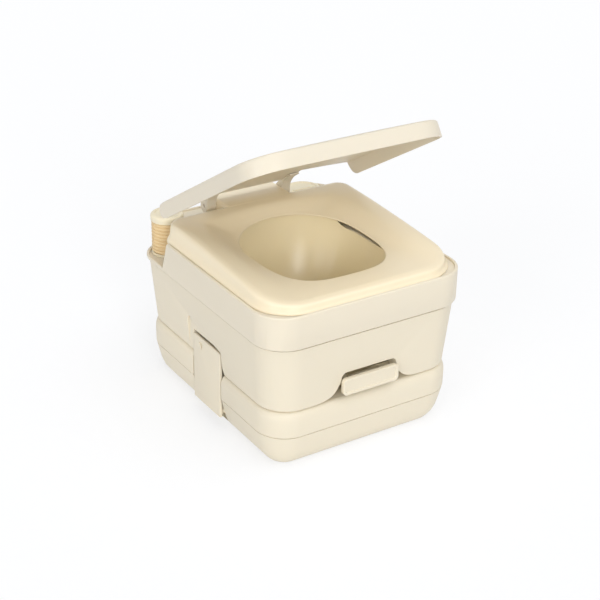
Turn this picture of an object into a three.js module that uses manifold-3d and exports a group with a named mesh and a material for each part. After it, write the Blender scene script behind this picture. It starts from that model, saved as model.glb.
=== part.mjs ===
// Portable toilet for a camper: a waste tank below, a water tank with the bowl above,
// a seat and a lid on one hinge, a bellows pump, a slide valve, two side latches and a
// swinging pouring spout. Millimetres, Z up, origin on the floor under the middle of
// the tanks. The valve handle faces -Y, the lid hinge runs along X at the rear.
import * as THREE from 'three';
import { mergeVertices } from 'three/addons/utils/BufferGeometryUtils.js';
import Module from 'manifold-3d';

const wasm = await Module();
wasm.setup();

// Shared clearances and facets
const touchGap = 0.35;
const slideGap = 0.6;
const overrun = 5;
const weldGap = 0.0001;
const sliverSize = 0.004;
const roundSides = 20;
const smallSides = 12;
const bowlSides = 32;
const cornerSteps = 5;
const innerCornerSteps = 4;
const humpCornerSteps = 3;
const sideSteps = 3;

// Tank walls
const tankWall = 3;
const deckWall = 3;
const bowlWall = 3;

// Band: its width and depth drive the tanks, the seat, the lid and what stands on the deck
const bandWidth = 333;
const bandDepth = 394;
const bandCorner = 49;
const bandBottom = 196;
const bandLap = 3;
const sideEdge = bandWidth / 2;
const endEdge = bandDepth / 2;

// Water tank plan, tapered in towards its foot
const waterTopWidth = bandWidth - bandLap * 2;
const waterTopDepth = bandDepth - bandLap * 2;
const waterSideTaper = 8.5;
const waterEndTaper = 5.5;
const waterFootWidth = waterTopWidth - waterSideTaper * 2;
const waterFootDepth = waterTopDepth - waterEndTaper * 2;

// Waste tank
const wasteSideStep = 2.7;
const wasteEndStep = 2.25;
const wasteWidth = waterFootWidth + wasteSideStep * 2;
const wasteDepth = waterFootDepth + wasteEndStep * 2;
const wasteCorner = 47;
const wasteHeight = 93;
const footTuck = 23.5;
const wasteProfileShares = [
  [0, 1],
  [0.065, 0.8],
  [0.15, 0.52],
  [0.25, 0.34],
  [0.43, 0.15],
  [0.575, 0.05],
  [0.58, 0.025],
  [0.84, 0],
  [0.92, 0.06],
  [0.975, 0.18],
  [1, 0.36],
];

// Water tank
const seamGap = 0.4;
const waterBase = wasteHeight + seamGap;
const waterCorner = 47;
const waterFootRound = 4.5;

// Top rim and deck
const rimTop = 246;
const rimWidth = 4.5;
const rimRound = 2.4;
const deckTop = 243;
const spigotDrop = 9;
const spigotWall = 2.4;

// Valve line shared by the bowl outlet, the valve and the waste inlet
const outletY = -10;
const outletRadius = 42;
const outletWall = 3;

// Slide valve
const valveWall = 6;
const bladeThick = 3.2;
const bladeWidth = 108;
const bladeLap = 12;
const valveStandoff = 13;
const valveDeck = 6;
const valveCoverThick = 4;
const valveRunOn = 1;
const valveEndWall = 8;
const stemWidth = 40;
const sealThick = 2.6;
const sealWidth = 6;
const screwRadius = 1.6;
const screwHeadRadius = 2.9;
const screwHeadThick = 2.2;
const screwHeadRound = 0.9;
const screwHold = 9;

// Valve handle
const handleWidth = 94;
const handleHeight = 26;
const handleThick = 7;
const handleCorner = 7;
const handleBorder = 5;
const handlePanelDepth = 1.2;
const handleBossWidth = 50;
const handleBossDepth = 15;
const handleBossHeight = 12;
const handleFace = endEdge;
const handlePinRadius = 2;

// Arch over the handle
const archTop = 135;
const archRound = 9;
const archFlare = 52;

// Bowl
const bowlEdgeLap = 6;
const bowlTop = 246;
const bowlNeck = 134;

// Hinge line shared by seat and lid
const hingeInset = 47;
const hingeY = endEdge - hingeInset;
const hingeZ = 266;

// Seat
const seatMargin = 5.3;
const seatWidth = bandWidth - seatMargin * 2;
const seatFrontCorner = 64.6;
const seatRearCorner = 27;
const seatHingeGap = 27;
const seatRear = hingeY - seatHingeGap;
const seatShell = 3.2;
const seatRearTop = 275.8;
const seatFrontTop = 254.5;
const seatSideLand = 67.2;
const seatFrontLand = 53.7;
const seatRearLand = 49.5;
const openingHalf = seatWidth / 2 - seatSideLand;
const openingFront = endEdge - seatMargin - seatFrontLand;
const openingRear = seatRear - seatRearLand;
const openingMiddle = -16;
const lipSide = 255.5;
const lipFront = 255;
const lipRear = 259.5;
const lipDrop = 4.5;
const lipFoot = lipSide - lipDrop;
const seatSkirtThick = 8;
const padThick = 3;
const padLength = 18;
const padWidth = 7;
const padCorner = 2.8;
const padInset = 19.5;
const padPlaceShare = 0.78;

// Hinge pin, the seat's hump and the lid's knuckles
const hingePinRadius = 3;
const hingePinGap = 0.35;
const humpHalf = 57;
const humpTop = 276.2;
const humpBack = 11;
const humpCheek = 8;
const humpRound = 6;
const lugRadius = 6.6;
const lugWidth = 14;
const lugPlace = 34;
const knuckleWidth = 16;
const knuckleRadius = 9.6;

// Lid
const lidSideLap = 0.3;
const lidFrontMargin = 3.5;
const lidWidth = seatWidth + lidSideLap * 2;
const lidReach = hingeY + endEdge - lidFrontMargin;
const lidCorner = 52;
const lidWall = 2.8;
const lidSkirtLow = -10;
const lidEdgeHigh = 14.5;
const lidCrown = 7.5;
const lidEdgeRound = 4;
const lidRearMiddle = 18;
const lidRearLeft = 31;
const lidRearRight = 57;
const lidRearSlant = 16;
const lidEndCorner = 20;
const lidOpenAngle = (31.6 * Math.PI) / 180;

// Bellows pump
const pumpSideInset = 37.5;
const pumpEndInset = 33.5;
const pumpX = pumpSideInset - sideEdge;
const pumpY = endEdge - pumpEndInset;
const pumpFloorRise = 2;
const pumpRadius = 24;
const pumpValleyRadius = 20.5;
const pumpRibs = 5;
const pumpSkin = 1.6;
const pumpBaseThick = 3.6;
const pumpBaseRound = 1.2;
const pumpBaseLip = 0.5;
const pumpOutletOffset = 14;
const pumpOutletRadius = 3.6;
const pumpOutletBore = 2;
const pumpCapBottom = 252;
const pumpCapThick = 11;
const pumpCapRadius = 25.2;
const pumpSpigotRadius = 8;
const pumpSpigotDrop = 12;
const pumpTubeRadius = 4.5;
const pumpTubeBore = 3;
const strainerRadius = 8;
const strainerHeight = 9;
const strainerSlotWidth = 2;

// Pump pocket in the band; the band's foot runs on round the corner as a low lip
const pocketLip = 5.5;
const pocketWidth = 68.5;
const pocketDepth = 69;
const pocketBendWidth = 35.5;
const pocketBendDepth = 73;
const pocketLength = 104.5;
const pocketSide = sideEdge - pocketWidth;
const pocketFront = endEdge - pocketDepth;
const pocketCornerX = sideEdge - pocketBendWidth;
const pocketCornerY = endEdge - pocketBendDepth;
const pocketStart = endEdge - pocketLength;
const pocketSlant = 19;

// Flush nozzle
const nozzleSideInset = 27;
const nozzleRearInset = 11;
const nozzleX = openingHalf - nozzleSideInset;
const nozzleY = openingRear - nozzleRearInset;
const nozzleWidth = 34;
const nozzleHeight = 7;
const nozzleReach = 16;
const nozzleWall = 1.6;
const nozzleTopGap = 3;
const nozzleStubLength = 6;
const tubeDip = 12;
const tubeBowlGap = 32;
const tubeSteps = 18;
const tubeSides = 4;

// Water filler
const fillerSideInset = 54.5;
const fillerEndInset = 35;
const fillerX = sideEdge - fillerSideInset;
const fillerY = endEdge - fillerEndInset;
const fillerBore = 21;
const fillerNeckWall = 3;
const fillerNeckRise = 5;
const fillerCapRadius = 29;
const fillerCapHeight = 9.6;
const fillerCapWall = 2.6;
const gripRibs = 14;
const gripDepth = 1.1;
const gasketThick = 1.6;

// Side latches
const latchY = -5;
const latchWidth = 78;
const latchBottom = 20.5;
const latchTop = 127;
const latchThick = 4.5;
const latchFaceInset = 0.2;
const latchPinInset = 9.5;
const latchPocketDeep = 20.5;
const latchFace = wasteWidth / 2 - latchFaceInset;
const latchInner = latchFace - latchThick;
const latchSideGap = 3;
const latchTopGap = 4;
const latchPinX = latchFace - latchPinInset;
const latchPinZ = 32;
const latchPinRadius = 2.2;
const latchEarWidth = 6;
const latchEarRadius = 6.5;
const latchLugWidth = 6;
const latchHookReach = 9.5;
const latchHookThick = 5;
const latchHookWidth = 46;
const latchLedgeTop = 109;
const latchLedgeThick = 5;
const latchArrow = 6;
const latchArrowDepth = 1;
const latchPocketBack = latchFace - latchPocketDeep;
const latchPocketLow = 12;
const latchFlare = 10;
const latchCheekTop = 152;
const latchCheekRear = 49;
const latchCheekDepth = 2.2;

// Pouring spout
const spoutSideInset = 71.5;
const spoutEndInset = 47;
const spoutX = sideEdge - spoutSideInset;
const spoutY = endEdge - spoutEndInset;
const spoutBore = 17;
const spoutWall = 3;
const spoutNeckRise = 8;
const spoutReach = 64;
const spoutCapRadius = 24.5;
const spoutCapLength = 20;
const domeSteps = 4;

// Vent button beside the spout
const ventSpoutGap = 117;
const ventEndInset = 39;
const ventX = spoutX - ventSpoutGap;
const ventY = endEdge - ventEndInset;
const ventRadius = 9;
const ventHeight = 7;
const ventStemRadius = 4;
const ventStemDrop = 10;
const ventStroke = 3;

// Rear alcove for the spout and the vent
const alcoveVentRoom = 26;
const alcoveSideInset = 35.5;
const alcoveDepth = 80;
const alcoveLeft = ventX - alcoveVentRoom;
const alcoveRight = sideEdge - alcoveSideInset;
const alcoveFront = endEdge - alcoveDepth;
const alcoveTop = 156;
const alcoveRound = 8;

// Finishes
const creamShell = { color: 0xe9e1cf, roughness: 0.48, metalness: 0 };
const creamBand = { color: 0xece4d1, roughness: 0.46, metalness: 0 };
const creamSeat = { color: 0xe1d3b4, roughness: 0.4, metalness: 0 };
const creamLid = { color: 0xe8dfcb, roughness: 0.44, metalness: 0 };
const tanRubber = { color: 0xc9ac7c, roughness: 0.6, metalness: 0 };
const darkRubber = { color: 0x3a3733, roughness: 0.75, metalness: 0 };
const greyPlastic = { color: 0x8d8a82, roughness: 0.5, metalness: 0 };
const brightSteel = { color: 0xb9bcc0, roughness: 0.3, metalness: 1 };

const group = new THREE.Group();

// Solid and mesh helpers
function solidOf(geometry) {
  const bare = geometry.index ? geometry.toNonIndexed() : geometry.clone();
  bare.deleteAttribute('normal');
  bare.deleteAttribute('uv');
  const welded = mergeVertices(bare, weldGap);
  const vertProperties = Float32Array.from(welded.attributes.position.array);
  const triVerts = Uint32Array.from(welded.index.array);
  return new wasm.Manifold(new wasm.Mesh({ numProp: 3, vertProperties, triVerts, tolerance: sliverSize }));
}

function joined(solids) {
  return solids.reduce((whole, next) => whole.add(next));
}

function without(solid, cuts) {
  return cuts.reduce((whole, next) => whole.subtract(next), solid);
}

function geometryOf(solid) {
  const mesh = solid.getMesh();
  const geometry = new THREE.BufferGeometry();
  geometry.setAttribute('position', new THREE.BufferAttribute(Float32Array.from(mesh.vertProperties), 3));
  geometry.setIndex(new THREE.BufferAttribute(Uint32Array.from(mesh.triVerts), 1));
  return geometry;
}

function piece(name, solid, look, parent = group) {
  const geometry = geometryOf(solid);
  geometry.computeVertexNormals();
  const mesh = new THREE.Mesh(geometry, new THREE.MeshStandardMaterial(look));
  mesh.name = name;
  parent.add(mesh);
  return mesh;
}

// Outlines: a rectangle with its own front and rear corner radii
function outline(halfWidth, front, rear, frontCorner, rearCorner = frontCorner) {
  return { halfWidth, front, rear, frontCorner, rearCorner };
}

function boxOutline(width, depth, corner) {
  return outline(width / 2, -depth / 2, depth / 2, corner);
}

function inset(shape, distance) {
  const least = Math.min(shape.frontCorner, shape.rearCorner) / 4;
  return outline(
    shape.halfWidth - distance,
    shape.front + distance,
    shape.rear - distance,
    Math.max(shape.frontCorner - distance, least),
    Math.max(shape.rearCorner - distance, least),
  );
}

function blendOutline(a, b, share) {
  const mix = (name) => THREE.MathUtils.lerp(a[name], b[name], share);
  return outline(mix('halfWidth'), mix('front'), mix('rear'), mix('frontCorner'), mix('rearCorner'));
}

function outlinePoints(shape, steps = cornerSteps, runs = 1) {
  const { halfWidth, front, rear, frontCorner, rearCorner } = shape;
  const corners = [
    [halfWidth - frontCorner, front + frontCorner, frontCorner, -Math.PI / 2],
    [halfWidth - rearCorner, rear - rearCorner, rearCorner, 0],
    [rearCorner - halfWidth, rear - rearCorner, rearCorner, Math.PI / 2],
    [frontCorner - halfWidth, front + frontCorner, frontCorner, Math.PI],
  ];
  const arcs = corners.map(([x, y, radius, start]) => {
    const arc = [];
    for (let i = 0; i <= steps; i += 1) {
      const angle = start + ((Math.PI / 2) * i) / steps;
      arc.push(new THREE.Vector2(x + radius * Math.cos(angle), y + radius * Math.sin(angle)));
    }
    return arc;
  });
  const points = [];
  arcs.forEach((arc, index) => {
    points.push(...arc);
    const from = arc[arc.length - 1];
    const to = arcs[(index + 1) % arcs.length][0];
    for (let i = 1; i < runs; i += 1) points.push(from.clone().lerp(to, i / runs));
  });
  return points;
}

function ringAt(shape, height, steps = cornerSteps, runs = 1) {
  return outlinePoints(shape, steps, runs).map((point) => new THREE.Vector3(point.x, point.y, height));
}

// Skin between rings of equal count; open ends get a fan to their middle point
function loft(rings, closesOnItself = false) {
  const count = rings[0].length;
  const positions = [];
  const index = [];
  rings.forEach((ring) => ring.forEach((point) => positions.push(point.x, point.y, point.z)));
  const spans = closesOnItself ? rings.length : rings.length - 1;
  for (let r = 0; r < spans; r += 1) {
    const low = r * count;
    const high = ((r + 1) % rings.length) * count;
    for (let i = 0; i < count; i += 1) {
      const j = (i + 1) % count;
      index.push(low + i, low + j, high + j);
      index.push(low + i, high + j, high + i);
    }
  }
  if (!closesOnItself) {
    const cap = (ring, base, upward) => {
      const middle = ring.reduce((sum, point) => sum.add(point), new THREE.Vector3()).divideScalar(count);
      const centre = positions.length / 3;
      positions.push(middle.x, middle.y, middle.z);
      for (let i = 0; i < count; i += 1) {
        const j = (i + 1) % count;
        if (upward) index.push(base + i, base + j, centre);
        else index.push(base + j, base + i, centre);
      }
    };
    cap(rings[0], 0, false);
    cap(rings[rings.length - 1], (rings.length - 1) * count, true);
  }
  const geometry = new THREE.BufferGeometry();
  geometry.setAttribute('position', new THREE.BufferAttribute(Float32Array.from(positions), 3));
  geometry.setIndex(index);
  return solidOf(geometry);
}

// Straight prism of an outline between two heights
function slab(shape, low, high, steps = cornerSteps) {
  return loft([ringAt(shape, low, steps), ringAt(shape, high, steps)]);
}

function block(xLow, xHigh, yLow, yHigh, zLow, zHigh) {
  const geometry = new THREE.BoxGeometry(xHigh - xLow, yHigh - yLow, zHigh - zLow);
  geometry.translate((xLow + xHigh) / 2, (yLow + yHigh) / 2, (zLow + zHigh) / 2);
  return solidOf(geometry);
}

// Upright, X-wise and Y-wise round bars
function post(x, y, radius, low, high, sides = roundSides) {
  const geometry = new THREE.CylinderGeometry(radius, radius, high - low, sides);
  geometry.rotateX(Math.PI / 2);
  geometry.translate(x, y, (low + high) / 2);
  return solidOf(geometry);
}

function barX(xLow, xHigh, y, z, radius, sides = smallSides) {
  const geometry = new THREE.CylinderGeometry(radius, radius, xHigh - xLow, sides);
  geometry.rotateZ(Math.PI / 2);
  geometry.translate((xLow + xHigh) / 2, y, z);
  return solidOf(geometry);
}

function barY(yLow, yHigh, x, z, radius, sides = smallSides) {
  const geometry = new THREE.CylinderGeometry(radius, radius, yHigh - yLow, sides);
  geometry.translate(x, (yLow + yHigh) / 2, z);
  return solidOf(geometry);
}

function washer(x, y, inner, outer, low, high, sides = roundSides) {
  const hole = post(x, y, inner, low - overrun, high + overrun, sides);
  return post(x, y, outer, low, high, sides).subtract(hole);
}

// Profile of radius and height turned about an upright line
function turned(x, y, profile, sides = roundSides) {
  const points = profile.map(([radius, height]) => new THREE.Vector2(radius, height));
  const geometry = new THREE.LatheGeometry(points, sides);
  geometry.rotateX(Math.PI / 2);
  geometry.translate(x, y, 0);
  return solidOf(geometry);
}

// Flat shapes pushed along X, Y or Z
function shapeOf(points) {
  return new THREE.Shape(points.map(([a, b]) => new THREE.Vector2(a, b)));
}

function pushX(points, low, high) {
  const geometry = new THREE.ExtrudeGeometry(shapeOf(points), { depth: high - low, bevelEnabled: false });
  geometry.rotateX(Math.PI / 2);
  geometry.rotateZ(Math.PI / 2);
  geometry.translate(low, 0, 0);
  return solidOf(geometry);
}

function pushY(points, low, high) {
  const geometry = new THREE.ExtrudeGeometry(shapeOf(points), { depth: high - low, bevelEnabled: false });
  geometry.rotateX(Math.PI / 2);
  geometry.translate(0, high, 0);
  return solidOf(geometry);
}

function pushZ(points, low, high) {
  const geometry = new THREE.ExtrudeGeometry(shapeOf(points), { depth: high - low, bevelEnabled: false });
  geometry.translate(0, 0, low);
  return solidOf(geometry);
}

// Rounded rectangle in the plane of a push, as a list of pairs
function roundedPairs(aLow, aHigh, bLow, bHigh, corner, steps = 4) {
  const corners = [
    [aHigh - corner, bLow + corner, -Math.PI / 2],
    [aHigh - corner, bHigh - corner, 0],
    [aLow + corner, bHigh - corner, Math.PI / 2],
    [aLow + corner, bLow + corner, Math.PI],
  ];
  const pairs = [];
  corners.forEach(([a, b, start]) => {
    for (let i = 0; i <= steps; i += 1) {
      const angle = start + ((Math.PI / 2) * i) / steps;
      pairs.push([a + corner * Math.cos(angle), b + corner * Math.sin(angle)]);
    }
  });
  return pairs;
}

// Heights that several pieces share
const valveFoot = wasteHeight + touchGap;
const bladeFloor = valveFoot + valveStandoff + valveDeck;
const bladeLow = bladeFloor + touchGap;
const bladeHigh = bladeLow + bladeThick;
const coverLow = bladeHigh + touchGap;
const coverHigh = coverLow + valveCoverThick;
const sealSeat = coverHigh + touchGap;
const sealTop = sealSeat + sealThick;
const outletFoot = sealTop + touchGap;
const valveRoof = outletFoot + slideGap * 4;
const valveNeckRadius = outletRadius + outletWall;
const valveHalf = bladeWidth / 2 + touchGap + valveWall;
const bladeRear = outletY + outletRadius + bladeLap;
const bladeFront = outletY - outletRadius - bladeLap;
const bladeTravel = outletRadius * 2 + bladeLap;
const valveRear = bladeRear + touchGap + valveEndWall;
const valveFront = bladeFront - bladeTravel - valveRunOn;
const tunnelHalf = valveHalf + slideGap * 6;

// Waste tank: a blown shell with a rounded shoulder, a mould line and a tucked foot
const wasteOutline = boxOutline(wasteWidth, wasteDepth, wasteCorner);

function wasteBody(wall) {
  const steps = wall > 0 ? innerCornerSteps : cornerSteps;
  const rows = wall > 0 ? wasteProfileShares.filter((row, index) => index % 2 === 0) : wasteProfileShares;
  const rings = rows.map(([heightShare, tuckShare]) => {
    const height = THREE.MathUtils.clamp(heightShare * wasteHeight, wall, wasteHeight - wall);
    return ringAt(inset(wasteOutline, tuckShare * footTuck + wall), height, steps);
  });
  const apart = rings.filter((ring, index) => index === 0 || ring[0].z > rings[index - 1][0].z);
  return loft(apart);
}

function latchPocket(side, low, high, back, wall, top) {
  const half = latchWidth / 2 + latchSideGap + wall;
  const start = side > 0 ? back - wall : -wasteWidth;
  const end = side > 0 ? wasteWidth : -back + wall;
  const flareLow = wasteHeight + latchFlare * 1.6;
  const points = top
    ? [
      [latchY - half - latchFlare, low],
      [latchY + half, low],
      [latchY + half, high + wall],
      [latchY - half, high + wall],
      [latchY - half, flareLow],
      [latchY - half - latchFlare * 0.35, wasteHeight + latchFlare * 0.5],
    ]
    : [
      [latchY - half, low - wall],
      [latchY + half, low - wall],
      [latchY + half, high],
      [latchY - half, high],
    ];
  return pushX(points, start, end);
}

// Lugs rounded about the pin, so that the plate swings round them
function latchLugs(side) {
  const half = latchWidth / 2 + latchSideGap;
  const radius = latchInner - latchPinX - touchGap;
  const lug = (yLow) => {
    const xLow = side > 0 ? latchPocketBack - overrun / 2 : -latchPinX;
    const xHigh = side > 0 ? latchPinX : -latchPocketBack + overrun / 2;
    const web = block(xLow, xHigh, yLow, yLow + latchLugWidth, latchPinZ - radius, latchPinZ + radius);
    return web.add(barY(yLow, yLow + latchLugWidth, side * latchPinX, latchPinZ, radius));
  };
  const pair = joined([lug(latchY - half), lug(latchY + half - latchLugWidth)]);
  const hole = barY(
    latchY - half - overrun,
    latchY + half + overrun,
    side * latchPinX,
    latchPinZ,
    latchPinRadius + touchGap,
  );
  return pair.subtract(hole);
}

const wasteShell = without(wasteBody(0), [
  latchPocket(1, latchPocketLow, wasteHeight + overrun, latchPocketBack, 0, false),
  latchPocket(-1, latchPocketLow, wasteHeight + overrun, latchPocketBack, 0, false),
]);
const wasteHollow = without(wasteBody(tankWall), [
  latchPocket(1, latchPocketLow, wasteHeight + overrun, latchPocketBack, tankWall, false),
  latchPocket(-1, latchPocketLow, wasteHeight + overrun, latchPocketBack, tankWall, false),
]);
const underRoof = wasteHeight - tankWall * 2;
const spoutNeckRadius = spoutBore + spoutWall;
const spoutNeckTop = wasteHeight + spoutNeckRise;
const spoutNeck = post(spoutX, spoutY, spoutNeckRadius, wasteHeight - tankWall, spoutNeckTop);
const wasteTank = without(
  joined([wasteShell.subtract(wasteHollow), spoutNeck, latchLugs(1), latchLugs(-1)]),
  [
    post(0, outletY, outletRadius + outletWall + touchGap, underRoof, wasteHeight + overrun),
    post(spoutX, spoutY, spoutBore, underRoof, spoutNeckTop + overrun),
    post(ventX, ventY, ventStemRadius + touchGap, underRoof, wasteHeight + overrun, smallSides),
  ],
);
piece('lower_tank', wasteTank, creamShell);

// Water tank: a tapered shell, open at the top, arched over the valve handle
const waterFoot = boxOutline(waterFootWidth, waterFootDepth, waterCorner);
const waterHead = boxOutline(waterTopWidth, waterTopDepth, waterCorner);
const waterRim = bandBottom - touchGap;

function waterOutlineAt(height) {
  const share = (height - waterBase - waterFootRound) / (waterRim - waterBase - waterFootRound);
  return blendOutline(waterFoot, waterHead, share);
}

function waterBody(wall, top) {
  const at = (height) => inset(waterOutlineAt(height), wall);
  const steps = wall > 0 ? innerCornerSteps : cornerSteps;
  const low = waterBase + wall;
  const knee = waterBase + waterFootRound + wall;
  const rings = [
    ringAt(inset(at(low), waterFootRound * 0.9), low, steps),
    ringAt(inset(at(low), waterFootRound * 0.35), low + waterFootRound * 0.3, steps),
    ringAt(at(knee), knee, steps),
    ringAt(at(top), top, steps),
  ];
  return loft(rings);
}

function archPoints(wall) {
  const half = handleWidth / 2 - touchGap + wall;
  const top = archTop + wall;
  const low = waterBase - overrun;
  const kneeHeight = waterBase + (archTop - waterBase) * 0.5;
  const right = [
    [half + archFlare + wall, low],
    [half + archFlare * 0.85, waterBase + archRound * 0.15 + wall * 0.6],
    [half + archFlare * 0.5, waterBase + archRound * 0.45 + wall * 0.8],
    [half + archFlare * 0.27, waterBase + archRound + wall],
    [half + archFlare * 0.12, waterBase + archRound * 1.9 + wall],
    [half + archFlare * 0.03, kneeHeight + archRound * 0.7 + wall],
    [half, top - archRound],
    [half - archRound * 0.3, top - archRound * 0.3],
    [half - archRound, top],
  ];
  const left = right.map(([x, z]) => [-x, z]).reverse();
  return [...right, ...left];
}

function archCut(wall) {
  return pushY(archPoints(wall), -waterTopDepth, valveFront + wall);
}

function tunnelCut(wall) {
  return block(
    -tunnelHalf - wall,
    tunnelHalf + wall,
    valveFront - overrun,
    valveRear + slideGap * 6 + wall,
    waterBase - overrun,
    valveRoof + wall,
  );
}

function alcoveCut(wall) {
  const points = roundedPairs(
    alcoveLeft - wall,
    alcoveRight + wall,
    waterBase - alcoveRound * 2,
    alcoveTop + wall,
    alcoveRound,
  );
  return pushY(points, alcoveFront - wall, waterTopDepth);
}

function cheekCut(side) {
  const rear = latchCheekRear;
  const front = latchY - latchWidth / 2 - latchSideGap;
  const points = [
    [front, waterBase - overrun],
    [rear, waterBase - overrun],
    [rear, latchCheekTop - latchFlare],
    [rear - latchFlare * 0.8, latchCheekTop],
    [rear - latchFlare * 2, latchCheekTop - latchFlare * 0.8],
    [front, latchTop + latchTopGap],
  ];
  const reach = latchFace - latchCheekDepth;
  return side > 0 ? pushX(points, reach, wasteWidth) : pushX(points, -wasteWidth, -reach);
}

function latchLedge(side) {
  const xLow = side > 0 ? latchPocketBack - tankWall / 2 : -latchLedgeReach;
  const xHigh = side > 0 ? latchLedgeReach : -latchPocketBack + tankWall / 2;
  const half = latchHookWidth / 2 + slideGap;
  return block(xLow, xHigh, latchY - half, latchY + half, latchLedgeTop - latchLedgeThick, latchLedgeTop);
}

const latchHalfInside = latchWidth / 2 + latchSideGap - latchLugWidth - slideGap;
const latchHookTip = latchInner - latchHookReach;
const latchLedgeReach = latchHookTip + latchHookReach * 0.38;
const latchPocketTop = latchTop + latchTopGap;
const waterShell = without(waterBody(0, waterRim), [
  archCut(0),
  tunnelCut(0),
  alcoveCut(0),
  cheekCut(1),
  cheekCut(-1),
  latchPocket(1, waterBase - overrun, latchPocketTop, latchPocketBack, 0, true),
  latchPocket(-1, waterBase - overrun, latchPocketTop, latchPocketBack, 0, true),
]);
const waterHollow = without(waterBody(tankWall, waterRim + overrun), [
  archCut(tankWall),
  tunnelCut(tankWall),
  alcoveCut(tankWall),
  latchPocket(1, waterBase - overrun, latchPocketTop, latchPocketBack, tankWall, true),
  latchPocket(-1, waterBase - overrun, latchPocketTop, latchPocketBack, tankWall, true),
]);
const waterTank = without(
  joined([waterShell.subtract(waterHollow), latchLedge(1), latchLedge(-1)]),
  [post(0, outletY, valveNeckRadius + slideGap, valveRoof - overrun, valveRoof + tankWall + overrun)],
);
piece('upper_tank', waterTank, creamShell);

// Egg-shaped seat opening in polar form about its widest point
const openingFullFrontShare = 3.25;
const openingFullRearShare = 2.15;

function openingReach(angle, grow) {
  const across = Math.abs(Math.cos(angle)) / (openingHalf + grow);
  const ahead = Math.sin(angle) < 0;
  const length = ahead ? openingFront + openingMiddle + grow : openingRear - openingMiddle + grow;
  const power = ahead ? openingFullFrontShare : openingFullRearShare;
  const along = Math.abs(Math.sin(angle)) / length;
  return 1 / (across ** power + along ** power) ** (1 / power);
}

function openingPoint(angle, grow) {
  const reach = openingReach(angle, grow);
  return new THREE.Vector2(reach * Math.cos(angle), openingMiddle + reach * Math.sin(angle));
}

// Band, deck and bowl: one moulding that closes the water tank
const bandOutline = boxOutline(bandWidth, bandDepth, bandCorner);
const bandInner = inset(bandOutline, rimWidth);
const bandMiddle = inset(bandOutline, rimWidth / 2);
const spigotFoot = waterRim - spigotDrop;
const spigotOutline = inset(waterOutlineAt(spigotFoot), tankWall + touchGap);
const pumpFloor = bandBottom + pumpFloorRise;

const bandShell = without(
  loft([
    ringAt(inset(bandOutline, 0.4 * rimRound), bandBottom),
    ringAt(bandOutline, bandBottom + rimRound),
    ringAt(bandOutline, rimTop - rimRound),
    ringAt(inset(bandOutline, rimRound * 0.3), rimTop - rimRound * 0.3),
    ringAt(inset(bandOutline, rimRound), rimTop),
  ]),
  [
    slab(bandInner, bandBottom - overrun, deckTop - deckWall),
    slab(bandInner, deckTop, rimTop + overrun),
  ],
);
const spigotHead = bandBottom + deckWall;
const spigotInner = slab(
  inset(spigotOutline, spigotWall),
  spigotFoot - overrun,
  spigotHead + overrun,
  innerCornerSteps,
);
const spigot = slab(spigotOutline, spigotFoot, spigotHead, innerCornerSteps).subtract(spigotInner);
const flangeRing = slab(bandMiddle, bandBottom, spigotHead).subtract(spigotInner);

// Bowl skin: the opening's egg shape sinks and narrows to the round outlet
const bowlDepthShares = [
  [0, 0],
  [0.14, 0.03],
  [0.34, 0.13],
  [0.54, 0.3],
  [0.72, 0.52],
  [0.87, 0.77],
  [1, 1],
];

function bowlRing(depthShare, closeShare, grow) {
  const height = THREE.MathUtils.lerp(bowlTop, bowlNeck, depthShare);
  const ring = [];
  const count = bowlSides;
  for (let i = 0; i < count; i += 1) {
    const angle = (2 * Math.PI * i) / count;
    const wide = openingPoint(angle, bowlEdgeLap + grow);
    const narrow = new THREE.Vector2(
      (outletRadius + grow) * Math.cos(angle),
      outletY + (outletRadius + grow) * Math.sin(angle),
    );
    const flat = wide.lerp(narrow, closeShare);
    ring.push(new THREE.Vector3(flat.x, flat.y, height));
  }
  return ring;
}

function bowlBody(grow, topRise) {
  const rings = bowlDepthShares.map(([depthShare, closeShare]) => bowlRing(depthShare, closeShare, grow));
  const top = rings[0].map((point) => new THREE.Vector3(point.x, point.y, bowlTop + topRise));
  return loft([...rings.reverse(), ...(topRise > 0 ? [top] : [])]);
}

const bowlSkin = bowlBody(bowlWall, 0);
const bowlHollow = bowlBody(0, overrun);
const outletPipe = post(0, outletY, valveNeckRadius, outletFoot, bowlNeck + bowlWall);
const sealShoulder = valveRoof + tankWall + touchGap + sealThick + touchGap;
const outletCollar = post(0, outletY, valveNeckRadius + sealWidth, sealShoulder, sealShoulder + bowlWall);
const outletBore = post(0, outletY, outletRadius, outletFoot - overrun, bowlNeck + overrun);

// Pocket for the pump: the band's rear left corner is cut away down to the pump floor
function pocketPlan(wall) {
  const far = bandDepth;
  return [
    [-far, pocketStart - wall * 1.2],
    [-bandWidth / 2 + rimWidth - wall, pocketStart - wall * 1.2],
    [-pocketCornerX + wall * 0.4, pocketCornerY - wall],
    [-pocketSide + wall, pocketFront - wall],
    [-pocketSide + wall, far],
    [-far, far],
  ];
}

function pocketSlope(wall) {
  const far = bandDepth;
  const high = rimTop + overrun;
  return [
    [pocketStart + pocketSlant - wall, pumpFloor - wall],
    [far, pumpFloor - wall],
    [far, high],
    [pocketStart - wall, high],
  ];
}

function pocketBody(wall) {
  const plan = pushZ(pocketPlan(wall), pumpFloor - wall, rimTop + overrun);
  const slope = pushX(pocketSlope(wall), -bandWidth, 0);
  return plan.intersect(slope);
}

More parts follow.
